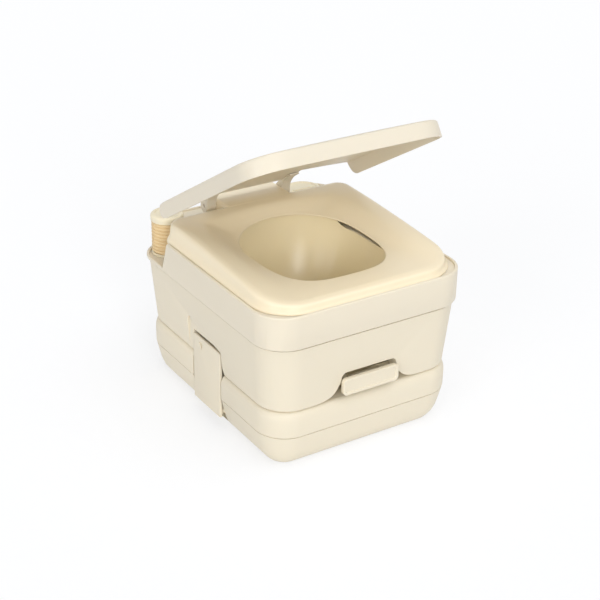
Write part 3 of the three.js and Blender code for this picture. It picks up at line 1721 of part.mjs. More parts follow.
// Vent button beside the spout
piece(
  'vent_button',
  turned(ventX, ventY, [
    [0, wasteHeight - ventStemDrop],
    [ventStemRadius, wasteHeight - ventStemDrop],
    [ventStemRadius, wasteHeight + ventStroke + touchGap],
    [ventRadius, wasteHeight + ventStroke + touchGap],
    [ventRadius, wasteHeight + ventStroke + ventHeight * 0.8],
    [ventRadius * 0.85, wasteHeight + ventStroke + ventHeight],
    [0, wasteHeight + ventStroke + ventHeight],
  ], smallSides),
  greyPlastic,
);

export default group;
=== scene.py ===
"""Looks of a portable camping toilet: two tanks, a deck with its bowl, a seat and a lid, a bellows pump,
a slide valve, side latches and a pouring spout. Metres, Z up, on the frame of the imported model."""

import logging
import math
from collections.abc import Callable, Sequence
from dataclasses import dataclass, field
from enum import Enum

import bmesh
import bpy
from mathutils import Matrix, Vector


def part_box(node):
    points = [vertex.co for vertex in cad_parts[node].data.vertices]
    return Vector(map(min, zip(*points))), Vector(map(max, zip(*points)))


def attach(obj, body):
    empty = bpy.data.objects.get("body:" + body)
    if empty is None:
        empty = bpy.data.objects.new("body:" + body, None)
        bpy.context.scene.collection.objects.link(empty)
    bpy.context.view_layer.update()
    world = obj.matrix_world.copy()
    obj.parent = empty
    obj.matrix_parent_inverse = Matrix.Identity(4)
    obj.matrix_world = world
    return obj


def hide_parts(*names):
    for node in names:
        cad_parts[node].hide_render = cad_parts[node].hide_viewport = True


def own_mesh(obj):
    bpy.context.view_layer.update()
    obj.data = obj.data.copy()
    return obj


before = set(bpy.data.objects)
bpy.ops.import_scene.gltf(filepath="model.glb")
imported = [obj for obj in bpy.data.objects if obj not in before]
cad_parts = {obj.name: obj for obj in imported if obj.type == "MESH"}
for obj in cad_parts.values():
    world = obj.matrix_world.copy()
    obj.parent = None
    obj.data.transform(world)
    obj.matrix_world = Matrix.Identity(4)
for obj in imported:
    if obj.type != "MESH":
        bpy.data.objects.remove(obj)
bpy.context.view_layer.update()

log = logging.getLogger("toilet")
# How far cutters run past what they cut, in four measures, largest first.
FAR = 0.3
ROOM = 0.05
PAST = 0.01
LAP = 0.001
# How near a point counts as on a face, and the distance at which points merge.
NEAR = 0.0005
CLOSE = 0.000005
# Short names for types.
Piece = bpy.types.Object
Pair = tuple[float, float]
Place = Callable[[Vector], bool]


# Outlines, rings and curves


@dataclass(frozen=True)
class Outline:
    """A rectangle in plan with its own front and rear corner radii, symmetric about X."""

    half_width: float
    front: float
    rear: float
    front_corner: float
    rear_corner: float

    @classmethod
    def box(cls, width: float, depth: float, corner: float) -> "Outline":
        """A centred outline with four like corners."""
        return cls(width / 2, -depth / 2, depth / 2, corner, corner)

    def inset(self, distance: float) -> "Outline":
        """The outline drawn in on all sides; a negative distance draws it out."""
        least = min(self.front_corner, self.rear_corner) / 4
        return Outline(
            self.half_width - distance,
            self.front + distance,
            self.rear - distance,
            max(self.front_corner - distance, least),
            max(self.rear_corner - distance, least),
        )

    def points(self, corner_steps: int, side_steps: int) -> list[Vector]:
        """Points round the outline, anticlockwise from the front right.

        Args:
            corner_steps: steps in each round corner.
            side_steps: steps along each straight side.

        Returns:
            The points, at height 0.
        """
        w, fc, rc = self.half_width, self.front_corner, self.rear_corner
        centres = [
            (w - fc, self.front + fc, fc, -math.pi / 2),
            (w - rc, self.rear - rc, rc, 0.0),
            (rc - w, self.rear - rc, rc, math.pi / 2),
            (fc - w, self.front + fc, fc, math.pi),
        ]
        arcs = []
        for x, y, radius, start in centres:
            angles = [start + math.pi / 2 * i / corner_steps for i in range(corner_steps + 1)]
            arcs.append([Vector((x + radius * math.cos(a), y + radius * math.sin(a), 0)) for a in angles])
        found: list[Vector] = []
        for index, arc in enumerate(arcs):
            found += arc
            following = arcs[(index + 1) % len(arcs)][0]
            found += [arc[-1].lerp(following, i / side_steps) for i in range(1, side_steps)]
        return found


def blend(low: float, high: float, share: float) -> float:
    """The value a share of the way from low to high."""
    return low + (high - low) * share


def curve_through(points: Sequence[Pair], per_span: int) -> list[Pair]:
    """A smooth curve through points of two numbers.

    Args:
        points: the points in order.
        per_span: how many steps each span gets.

    Returns:
        The points of the curve, ends included.
    """
    padded = [points[0], *points, points[-1]]
    found: list[Pair] = []
    for a, b, c, d in zip(padded, padded[1:], padded[2:], padded[3:]):
        for i in range(per_span):
            t = i / per_span
            terms = (
                -0.5 * t**3 + t * t - 0.5 * t,
                1.5 * t**3 - 2.5 * t * t + 1,
                -1.5 * t**3 + 2 * t * t + 0.5 * t,
                0.5 * t**3 - 0.5 * t * t,
            )
            found.append(tuple(sum(k * p[n] for k, p in zip(terms, (a, b, c, d))) for n in (0, 1)))
    return [*found, tuple(points[-1])]


def share_at(table: Sequence[Pair], at: float) -> float:
    """The second number of a table at a first number, on a smooth curve."""
    curve = curve_through(table, 6)
    at = min(max(at, curve[0][0]), curve[-1][0])
    for (a, low), (b, high) in zip(curve, curve[1:]):
        if a <= at <= b and b > a:
            return blend(low, high, (at - a) / (b - a))
    return curve[-1][1]


def arc_pairs(centre: Pair, radius: float, start: float, end: float, steps: int) -> list[Pair]:
    """Points on an arc, with its angles in degrees."""
    angles = [math.radians(blend(start, end, i / steps)) for i in range(steps + 1)]
    return [(centre[0] + radius * math.cos(a), centre[1] + radius * math.sin(a)) for a in angles]


def rounded_pairs(a: Pair, b: Pair, corner: float, steps: int = 6) -> list[Pair]:
    """A rectangle of pairs with round corners, from its low and high end along each axis."""
    right, left, top, foot = a[1] - corner, a[0] + corner, b[1] - corner, b[0] + corner
    found: list[Pair] = []
    for quarter, centre in enumerate(((right, foot), (right, top), (left, top), (left, foot)), -1):
        found += arc_pairs(centre, corner, quarter * 90, quarter * 90 + 90, steps)
    return found


# The hand tools


class Bench:
    """Hand tools for one piece at a time: primitives, edit-mode tools and modifiers that are applied."""

    @staticmethod
    def clear() -> None:
        """Leaves edit mode and deselects everything."""
        if bpy.context.object and bpy.context.object.mode != "OBJECT":
            bpy.ops.object.mode_set(mode="OBJECT")
        bpy.ops.object.select_all(action="DESELECT")

    @classmethod
    def take(cls, piece: Piece) -> None:
        """Makes a piece the only selected and active one."""
        cls.clear()
        piece.select_set(True)
        bpy.context.view_layer.objects.active = piece

    @classmethod
    def edit(cls, piece: Piece, mode: str = "FACE") -> None:
        """Opens a piece in edit mode with nothing selected."""
        cls.take(piece)
        bpy.ops.object.mode_set(mode="EDIT")
        bpy.ops.mesh.select_mode(type=mode)
        bpy.ops.mesh.select_all(action="DESELECT")

    @staticmethod
    def named(name: str, scale: Sequence[float] = (1, 1, 1)) -> Piece:
        """Names and scales the newest primitive and puts its place into its mesh."""
        piece = bpy.context.object
        piece.name = name
        piece.scale = scale
        bpy.ops.object.transform_apply(location=True, rotation=True, scale=True)
        return piece

    @classmethod
    def cube(cls, name: str, low: Sequence[float], high: Sequence[float]) -> Piece:
        """A cube primitive between two corners."""
        cls.clear()
        bpy.ops.mesh.primitive_cube_add(size=1, location=[(a + b) / 2 for a, b in zip(low, high)])
        return cls.named(name, [b - a for a, b in zip(low, high)])

    @classmethod
    def rod(
        cls, name: str, start: Sequence[float], end: Sequence[float], radius: float, sides: int = 48
    ) -> Piece:
        """A cylinder primitive between two points."""
        cls.clear()
        a, b = Vector(start), Vector(end)
        turn = (b - a).to_track_quat("Z", "Y").to_euler()
        bpy.ops.mesh.primitive_cylinder_add(
            vertices=sides, radius=radius, depth=(b - a).length, location=(a + b) / 2, rotation=turn
        )
        return cls.named(name)

    @classmethod
    def plate(cls, name: str, outline: Outline, height: float, segments: int = 14) -> Piece:
        """A plane primitive at its size and place, with its corners bevelled round.

        Args:
            name: the piece's name.
            outline: its plan.
            height: the height that it lies at.
            segments: steps in each round corner.

        Returns:
            The piece, one flat face.
        """
        cls.clear()
        middle = (0, (outline.front + outline.rear) / 2, height)
        bpy.ops.mesh.primitive_plane_add(size=1, location=middle)
        piece = cls.named(name, (outline.half_width * 2, outline.rear - outline.front, 1))
        for corner, at_front in ((outline.front_corner, True), (outline.rear_corner, False)):
            cls.edit(piece, "VERT")
            cls.pick_points(piece, lambda p, f=at_front: (p.y < middle[1]) == f)
            bpy.ops.mesh.bevel(offset=corner, segments=segments, affect="VERTICES", clamp_overlap=False)
        cls.clear()
        return piece

    @classmethod
    def raised_plate(cls, name: str, outline: Outline, low: float, rise: float, segments: int = 14) -> Piece:
        """A plate pulled up, in edit mode with its top face picked."""
        piece = cls.plate(name, outline, low, segments)
        cls.edit(piece)
        bpy.ops.mesh.select_all(action="SELECT")
        cls.pull(rise)
        return piece

    @classmethod
    def block(cls, name: str, outline: Outline, low: float, high: float, segments: int = 12) -> Piece:
        """A plate pulled up into a closed block."""
        block = cls.raised_plate(name, outline, low, high - low, segments)
        cls.tidy(block)
        return block

    @staticmethod
    def pick_points(piece: Piece, test: Place) -> None:
        """Selects the points in a place, in edit mode."""
        shape = bmesh.from_edit_mesh(piece.data)
        for point in shape.verts:
            point.select = test(point.co)
        shape.select_flush_mode()
        bmesh.update_edit_mesh(piece.data)

    @staticmethod
    def pick_faces(piece: Piece, test: Callable[[bmesh.types.BMFace], bool]) -> None:
        """Selects the faces that pass a test, in edit mode."""
        shape = bmesh.from_edit_mesh(piece.data)
        for face in shape.faces:
            face.select_set(False)
        for face in shape.faces:
            if test(face):
                face.select_set(True)
        bmesh.update_edit_mesh(piece.data)

    @staticmethod
    def pull(rise: float) -> None:
        """Extrudes the picked faces straight up."""
        bpy.ops.mesh.extrude_region_move(TRANSFORM_OT_translate={"value": (0, 0, rise)})

    @staticmethod
    def inset(inward: float, rise: float = 0.0) -> None:
        """Insets the picked faces evenly, and moves them along their normal."""
        bpy.ops.mesh.inset(thickness=inward, depth=rise, use_even_offset=True)

    @staticmethod
    def lies_at(face: bmesh.types.BMFace, height: float, way: int) -> bool:
        """Whether a face lies flat at a height and looks up (1) or down (-1)."""
        return face.normal.z * way > 0.9 and abs(face.calc_center_median().z - height) < CLOSE * 2

    @classmethod
    def step_in(cls, piece: Piece, start: float, rows: Sequence[Pair], way: int) -> None:
        """Insets a flat end face row by row.

        Args:
            piece: the piece.
            start: the height of its end face.
            rows: each row's height and how far it lies inward of the end face.
            way: 1 for the top, -1 for the underside.
        """
        last_height, last_in = start, 0.0
        for height, inward in rows:
            cls.edit(piece)
            cls.pick_faces(piece, lambda f, z=last_height: cls.lies_at(f, z, way))
            cls.inset(inward - last_in, abs(height - last_height))
            last_height, last_in = height, inward

    @classmethod
    def prism(cls, name: str, pairs: Sequence[Pair], axis: str, low: float, high: float) -> Piece:
        """An outline of pairs pushed along an axis.

        Args:
            name: the piece's name.
            pairs: the outline, as (y, z) for X, (x, z) for Y and (x, y) for Z.
            axis: "X", "Y" or "Z".
            low: where the push starts.
            high: where it ends.

        Returns:
            The closed piece.
        """
        order = {"X": (2, 0, 1), "Y": (0, 2, 1), "Z": (0, 1, 2)}[axis]
        shape = bmesh.new()
        rings = []
        for at in (low, high):
            places = [(a, b, at) for a, b in pairs]
            rings.append([shape.verts.new([p[n] for n in order]) for p in places])
        shape.faces.new(rings[0])
        shape.faces.new(rings[1])
        for i in range(len(pairs)):
            j = (i + 1) % len(pairs)
            shape.faces.new((rings[0][i], rings[0][j], rings[1][j], rings[1][i]))
        bmesh.ops.recalc_face_normals(shape, faces=shape.faces[:])
        return cls.from_shape(name, shape)

    @classmethod
    def skin(cls, name: str, rings: Sequence[Sequence[Vector]]) -> Piece:
        """A skin over rings of equal count, open at its ends."""
        shape = bmesh.new()
        rows = [[shape.verts.new(p) for p in ring] for ring in rings]
        for low, high in zip(rows, rows[1:]):
            for i in range(len(low)):
                j = (i + 1) % len(low)
                shape.faces.new((low[i], low[j], high[j], high[i]))
        return cls.from_shape(name, shape)

    @staticmethod
    def face_up(piece: Piece) -> None:
        """Flips a skin whose highest face looks down."""
        top = max(piece.data.polygons, key=lambda f: f.center.z)
        if top.normal.z < 0:
            piece.data.flip_normals()

    @classmethod
    def thicken(cls, piece: Piece, wall: float) -> None:
        """Gives a skin its wall, on its inner side."""
        cls.modify(piece, "SOLIDIFY", thickness=wall, offset=-1)

    @staticmethod
    def cap_end(piece: Piece) -> None:
        """Closes every open loop of a skin with one face."""
        shape = bmesh.new()
        shape.from_mesh(piece.data)
        loops = [e for e in shape.edges if e.is_boundary]
        bmesh.ops.holes_fill(shape, edges=loops, sides=0)
        bmesh.ops.recalc_face_normals(shape, faces=shape.faces[:])
        shape.to_mesh(piece.data)
        shape.free()

    @staticmethod
    def from_shape(name: str, shape: bmesh.types.BMesh) -> Piece:
        """A new object that holds a shape."""
        mesh = bpy.data.meshes.new(name)
        shape.to_mesh(mesh)
        shape.free()
        piece = bpy.data.objects.new(name, mesh)
        bpy.context.scene.collection.objects.link(piece)
        return piece

    @classmethod
    def turn(
        cls, name: str, profile: Sequence[Pair], centre: Sequence[float], axis: str = "Z", steps: int = 72
    ) -> Piece:
        """A profile spun about an axis.

        Args:
            name: the piece's name.
            profile: pairs of radius and place along the axis; a radius of 0 closes the piece.
            centre: a point on the axis; its place along the axis isn't used.
            axis: "Z" or "X".
            steps: steps in the full turn.

        Returns:
            The piece, with its seam closed and its faces pointing out.
        """
        shape = bmesh.new()
        if axis == "Z":
            places = [(centre[0] + r, centre[1], h) for r, h in profile]
        else:
            places = [(h, centre[1], centre[2] + r) for r, h in profile]
        points = [shape.verts.new(p) for p in places]
        for a, b in zip(points, points[1:]):
            shape.edges.new((a, b))
        piece = cls.from_shape(name, shape)
        cls.edit(piece, "EDGE")
        bpy.ops.mesh.select_all(action="SELECT")
        about = (0, 0, 1) if axis == "Z" else (1, 0, 0)
        bpy.ops.mesh.spin(steps=steps, angle=math.tau, center=tuple(centre), axis=about)
        cls.tidy(piece)
        return piece

    @classmethod
    def tidy(cls, piece: Piece, gap: float = 0.00002) -> None:
        """Merges doubles and points the faces out."""
        cls.edit(piece, "VERT")
        bpy.ops.mesh.select_all(action="SELECT")
        bpy.ops.mesh.remove_doubles(threshold=gap)
        bpy.ops.mesh.select_all(action="SELECT")
        bpy.ops.mesh.normals_make_consistent(inside=False)
        bpy.ops.object.mode_set(mode="OBJECT")

    @classmethod
    def modify(cls, piece: Piece, kind: str, **settings: object) -> None:
        """Adds a modifier, sets it and applies it."""
        cls.take(piece)
        change = piece.modifiers.new(kind.lower(), kind)
        for key, value in settings.items():
            setattr(change, key, value)
        bpy.ops.object.modifier_apply(modifier=change.name)

    @classmethod
    def combine(cls, piece: Piece, other: Piece, how: str) -> None:
        """Cuts or joins a piece with another, which is used up."""
        cls.modify(piece, "BOOLEAN", operation=how, object=other, solver="EXACT")
        bpy.data.objects.remove(other)

    @classmethod
    def carve(cls, piece: Piece, *cutters: Piece) -> None:
        """Cuts the cutters out of a piece."""
        for cutter in cutters:
            cls.combine(piece, cutter, "DIFFERENCE")

    @classmethod
    def drill(
        cls, piece: Piece, start: Sequence[float], end: Sequence[float], radius: float, sides: int = 24
    ) -> None:
        """Cuts a round bore between two points."""
        cls.carve(piece, cls.rod("bore", start, end, radius, sides))

    @classmethod
    def weld(cls, piece: Piece, *others: Piece) -> None:
        """Joins closed pieces to a piece as one body."""
        for other in others:
            cls.combine(piece, other, "UNION")

    @classmethod
    def round_edges(
        cls, piece: Piece, width: float, segments: int = 3, where: Place | None = None, sharp: float = 40
    ) -> None:
        """Bevels the sharp edges in a place.

        Args:
            piece: the piece.
            width: how far the bevel runs from each edge.
            segments: its steps.
            where: a test of an edge's two ends, or None for all.
            sharp: the least angle between faces, in degrees.
        """
        cls.edit(piece, "EDGE")
        shape = bmesh.from_edit_mesh(piece.data)
        limit = math.radians(sharp)
        picked = 0
        for edge in shape.edges:
            crisp = len(edge.link_faces) == 2 and edge.calc_face_angle(0.0) > limit
            if crisp and (where is None or all(where(v.co) for v in edge.verts)):
                edge.select_set(True)
                picked += 1
        bmesh.update_edit_mesh(piece.data)
        if picked:
            bpy.ops.mesh.bevel(offset=width, segments=segments, affect="EDGES", clamp_overlap=True)
        bpy.ops.object.mode_set(mode="OBJECT")

    @classmethod
    def round_along(cls, piece: Piece, axis: int, width: float, segments: int) -> None:
        """Bevels a box's edges that run along an axis, and stays in edit mode."""
        cls.edit(piece, "EDGE")
        shape = bmesh.from_edit_mesh(piece.data)
        for edge in shape.edges:
            along = edge.verts[1].co - edge.verts[0].co
            edge.select_set(abs(along[axis]) > along.length * 0.9)
        bmesh.update_edit_mesh(piece.data)
        bpy.ops.mesh.bevel(offset=width, segments=segments, affect="EDGES", clamp_overlap=True)

    @classmethod
    def join(cls, piece: Piece, *others: Piece) -> None:
        """Puts other pieces into the same object as they are."""
        cls.take(piece)
        for other in others:
            other.select_set(True)
        bpy.ops.object.join()

    @classmethod
    def smooth(cls, piece: Piece, angle: float = 32) -> None:
        """Shades a piece smooth up to an angle."""
        cls.take(piece)
        bpy.ops.object.shade_smooth_by_angle(angle=math.radians(angle))


# Shader maths and finishes


class Socket:
    """An output socket that can stand in a sum."""

    def __init__(self, tree: "Tree", output: bpy.types.NodeSocket) -> None:
        """Keeps the tree and the output."""
        self.tree = tree
        self.output = output

    def maths(self, operation: str, first: object, second: object, clamp: bool = False) -> "Socket":
        """A Math node of two values."""
        settings = {"operation": operation, "use_clamp": clamp}
        return self.tree.node("ShaderNodeMath", settings, {0: first, 1: second})

    def __add__(self, other: object) -> "Socket":
        """Sum."""
        return self.maths("ADD", self, other)

    def __radd__(self, other: object) -> "Socket":
        """Sum, reflected."""
        return self.maths("ADD", other, self)

    def __sub__(self, other: object) -> "Socket":
        """Difference."""
        return self.maths("SUBTRACT", self, other)

    def __rsub__(self, other: object) -> "Socket":
        """Difference, reflected."""
        return self.maths("SUBTRACT", other, self)

    def __mul__(self, other: object) -> "Socket":
        """Product."""
        return self.maths("MULTIPLY", self, other)

    def __rmul__(self, other: object) -> "Socket":
        """Product, reflected."""
        return self.maths("MULTIPLY", other, self)

    def held(self) -> "Socket":
        """The value kept from 0 to 1."""
        return self.maths("ADD", self, 0.0, clamp=True)


class Tree:
    """The node tree of one material or world."""

    def __init__(self, owner: bpy.types.Material | bpy.types.World) -> None:
        """Starts with an empty tree."""
        self.owner = owner
        owner.use_nodes = True
        self.nodes = owner.node_tree.nodes
        self.links = owner.node_tree.links
        self.nodes.clear()

    def node(
        self, kind: str, settings: dict | None = None, sockets: dict | None = None, output: int | str = 0
    ) -> Socket:
        """Adds a node.

        Args:
            kind: the node's type.
            settings: its properties, set first.
            sockets: values or Sockets for its inputs, by name or index.
            output: which output is returned.

        Returns:
            The output as a Socket.
        """
        made = self.nodes.new(kind)
        for key, value in (settings or {}).items():
            setattr(made, key, value)
        for key, value in (sockets or {}).items():
            if isinstance(value, Socket):
                self.links.new(value.output, made.inputs[key])
            else:
                made.inputs[key].default_value = value
        return Socket(self, made.outputs[output])

    def mix(self, share: object, first: object, second: object) -> Socket:
        """Mixes two colours."""
        return self.node("ShaderNodeMix", {"data_type": "RGBA"}, {0: share, 6: first, 7: second}, 2)

    def noise(self, place: Socket, scale: float, detail: float = 3, rough: float = 0.5) -> Socket:
        """Noise from 0 to 1 at a scale in cycles a metre."""
        sockets = {"Vector": place, "Scale": scale, "Detail": detail, "Roughness": rough}
        return self.node("ShaderNodeTexNoise", None, sockets)

    def spots(
        self, place: Socket, scale: float, gain: float, cut: float, detail: float = 3, rough: float = 0.5
    ) -> Socket:
        """Only the peaks of a noise: the noise times a gain less a cut, kept from 0 to 1."""
        return (self.noise(place, scale, detail, rough) * gain - cut).held()

    def stretch(self, place: Socket, scale: Sequence[float], turn: Sequence[float] = (0, 0, 0)) -> Socket:
        """A place scaled along the axes and turned."""
        return self.node("ShaderNodeMapping", None, {"Vector": place, "Rotation": turn, "Scale": scale})

    def bump(self, height: Socket, distance: float) -> Socket:
        """A normal from a height of 0 to 1 over a distance in metres."""
        return self.node("ShaderNodeBump", None, {"Strength": 1.0, "Distance": distance, "Height": height})

    def shown(self) -> Socket:
        """1 for a ray from the camera, or one that the object mirrors or lets through, else 0."""
        rays = ("Is Camera Ray", "Is Glossy Ray", "Is Transmission Ray")
        camera, glossy, passing = (self.node("ShaderNodeLightPath", output=ray) for ray in rays)
        return (camera + glossy + passing).held()

    def end(self, shader: Socket, kind: str = "ShaderNodeOutputMaterial") -> None:
        """Links a shader to the tree's output."""
        self.links.new(shader.output, self.nodes.new(kind).inputs["Surface"])

    def finish(self, sockets: dict) -> bpy.types.Material:
        """Ends the tree in one Principled shader with these sockets."""
        self.end(self.node("ShaderNodeBsdfPrincipled", None, sockets))
        return self.owner


def from_srgb(red: int, green: int, blue: int) -> tuple[float, float, float, float]:
    """A colour in screen values as linear light, with full alpha."""
    parts = [v / 255 for v in (red, green, blue)]
    linear = [p / 12.92 if p <= 0.04045 else ((p + 0.055) / 1.055) ** 2.4 for p in parts]
    return (*linear, 1.0)


def darker(colour: Sequence[float], share: float) -> tuple[float, ...]:
    """A colour with its light taken down by a share, blue first."""
    return (colour[0] * (1 - share), colour[1] * (1 - share * 1.08), colour[2] * (1 - share * 1.3), 1.0)


@dataclass(frozen=True)
class Moulding:
    """Moulded polypropylene: an even tone, a fine eroded grain, faint flow marks and handling scuffs.

    The depths are bump distances in metres, the scales are in cycles a metre.
    """

    name: str
    colour: tuple[float, float, float, float]
    roughness: float = 0.42
    grain_scale: float = 1500.0
    grain_depth: float = 0.00003
    ripple_depth: float = 0.00012
    tone_share: float = 0.05
    scuff_share: float = 0.35
    sheen_level: float = 0.45
    glow: float = 0.06
    cloud_scale: float = 7.0
    flow_scale: float = 38.0
    ripple_scale: float = 60.0
    scratch_scale: float = 55.0
    speck_scale: float = 420.0
    tone_drop: float = 0.09
    speck_share: float = 0.08
    speck_drop: float = 0.3

    def make(self) -> bpy.types.Material:
        """The material."""
        tree = Tree(bpy.data.materials.new(self.name))
        place = tree.node("ShaderNodeTexCoord", output="Object")
        cloud = tree.noise(place, self.cloud_scale, 2)
        flow = tree.noise(tree.stretch(place, (1, 1, 0.2)), self.flow_scale, 4, 0.6)
        grain = tree.noise(place, self.grain_scale, 2, 0.6)
        ripple = tree.noise(place, self.ripple_scale, 2, 0.4)
        drawn = tree.stretch(place, (1, 14, 1), (0.3, 0.2, 0.9))
        scratch = tree.spots(drawn, self.scratch_scale, 2.6, 1.45, 3, 0.7)
        tone = (cloud * 0.7 + flow * 0.3).held()
        base = tree.mix(tone * self.tone_share * 2, self.colour, darker(self.colour, self.tone_drop))
        speck = tree.spots(place, self.speck_scale, 4.0, 2.75, 1)
        base = tree.mix(speck * self.speck_share, base, darker(self.colour, self.speck_drop))
        rough = self.roughness + (flow - 0.5) * 0.08 + scratch * (0.1 * self.scuff_share)
        bump = tree.bump(grain * (self.grain_depth / self.ripple_depth) + ripple, self.ripple_depth)
        return tree.finish(
            {
                "Base Color": base,
                "Roughness": rough,
                "Specular IOR Level": self.sheen_level,
                "IOR": 1.49,
                "Subsurface Weight": self.glow,
                "Subsurface Radius": (0.004, 0.003, 0.002),
                "Subsurface Scale": 0.6,
                "Normal": bump,
            }
        )


@dataclass(frozen=True)
class Rubber:
    """Soft rubber: matt, with a cloudy tone, fine moulding lines round it and painted shade in the low places
    of the lines.
    """

    name: str
    colour: tuple[float, float, float, float]
    roughness: float = 0.62
    line_depth: float = 0.0001
    line_scale: float = 420.0

    def make(self) -> bpy.types.Material:
        """The material."""
        tree = Tree(bpy.data.materials.new(self.name))
        place = tree.node("ShaderNodeTexCoord", output="Object")
        lines = tree.node(
            "ShaderNodeTexWave",
            {"wave_type": "BANDS", "bands_direction": "Z", "wave_profile": "SIN"},
            {"Vector": place, "Scale": self.line_scale / math.tau / 3, "Distortion": 0.4, "Detail": 1.0},
            "Fac",
        )
        cloud = tree.noise(place, 24, 3)
        grain = tree.noise(place, 900, 2)
        base = tree.mix((cloud * 0.6).held(), self.colour, darker(self.colour, 0.16))
        # Painted shade: the colour is taken darker where the moulding lines' bump is low.
        base = tree.mix((1 - lines) * 0.14, base, darker(self.colour, 0.3))
        bump = tree.bump(lines + grain * 0.25, self.line_depth)
        return tree.finish(
            {
                "Base Color": base,
                "Roughness": self.roughness + (cloud - 0.5) * 0.12,
                "Specular IOR Level": 0.35,
                "Normal": bump,
            }
        )


@dataclass(frozen=True)
class Steel:
    """Drawn steel wire: bright, with fine turning lines and a few dull spots."""

    name: str
    colour: tuple[float, float, float, float]
    roughness: float = 0.28
    line_scale: float = 260.0
    line_depth: float = 0.00002
    spot_scale: float = 90.0

    def make(self) -> bpy.types.Material:
        """The material."""
        tree = Tree(bpy.data.materials.new(self.name))
        place = tree.node("ShaderNodeTexCoord", output="Object")
        lines = tree.noise(tree.stretch(place, (9, 1, 1)), self.line_scale, 3)
        spots = tree.spots(place, self.spot_scale, 3, 1.6)
        base = tree.mix(spots * 0.35, self.colour, darker(self.colour, 0.35))
        bump = tree.bump(lines, self.line_depth)
        return tree.finish(
            {"Base Color": base, "Roughness": self.roughness + spots * 0.2, "Metallic": 1.0, "Normal": bump}
        )


class Finish(Enum):
    """The finishes of the object, with the record's slot each belongs to."""

    TANK = ("shell", Moulding("cream_tank", from_srgb(228, 218, 196), 0.46))
    BAND = ("band", Moulding("cream_band", from_srgb(229, 219, 198), 0.44))
    SEAT = (
        "seat",
        Moulding("beige_seat", from_srgb(242, 228, 198), 0.32, ripple_depth=0.00006, sheen_level=0.5),
    )
    BOWL = (
        "band",
        Moulding("bowl_inside", from_srgb(242, 228, 192), 0.3, 900, 0.00001, 0.00005, sheen_level=0.6),
    )
    LID = ("lid", Moulding("cream_lid", from_srgb(227, 218, 199), 0.42))
    CAP = ("shell", Moulding("cream_caps", from_srgb(235, 225, 198), 0.4, 2100))
    BELLOWS = ("bellows", Rubber("tan_bellows", from_srgb(238, 212, 166)))
    SEAL = ("seal_rubber", Rubber("black_seal", from_srgb(52, 49, 46), 0.7, 0.00003))
    # The inner parts' tan is the tanks' cream taken darker: painted shade for the valve body, which sits in
    # the shade of the arch.
    INNER = ("grey_plastic", Moulding("valve_plastic", from_srgb(202, 190, 160), 0.5, 1100))
    STEEL = ("steel", Steel("bright_steel", from_srgb(196, 198, 202)))

    @property
    def slot(self) -> str:
        """The record's slot."""
        return self.value[0]

    def material(self) -> bpy.types.Material:
        """The material, made on first use."""
        found = bpy.data.materials.get(self.value[1].name)
        return found or self.value[1].make()


class Dresser:
    """Puts finished pieces on their bodies."""

    count = 0

    @classmethod
    def fit(
        cls, piece: Piece, body: str, finish: Finish, nodes: Sequence[str] = (), angle: float = 32
    ) -> Piece:
        """Shades, paints and seats a piece.

        Args:
            piece: the finished piece.
            body: the CAD body it rides on.
            finish: its finish.
            nodes: the CAD nodes it stands for.
            angle: the angle up to which it is shaded smooth, in degrees.

        Returns:
            The piece.
        """
        Bench.smooth(piece, angle)
        piece.data.materials.clear()
        piece.data.materials.append(finish.material())
        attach(piece, body)
        if nodes:
            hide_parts(*nodes)
        cls.count += 1
        faces, stands_for = len(piece.data.polygons), ", ".join(nodes) or "nothing"
        log.info("%s on %s, %d faces, for %s", piece.name, body, faces, stands_for)
        return piece

    @staticmethod
    def paint_node(name: str, finish: Finish) -> None:
        """Gives a carried-over CAD node its finish."""
        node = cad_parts[name]
        node.data.materials.clear()
        node.data.materials.append(finish.material())
        log.info("%s painted %s", name, finish.name.lower())


# Sub-assemblies


def outward(side: int, start: float, reach: float = ROOM) -> list[float]:
    """The low and high X of a span that runs outward from a distance, on the left (-1) or right (1)."""
    return sorted((side * start, side * (start + reach)))


def fixed(x: float, y: float, z: float) -> Vector:
    """A dataclass field that holds a point."""
    return field(default_factory=lambda: Vector((x, y, z)))


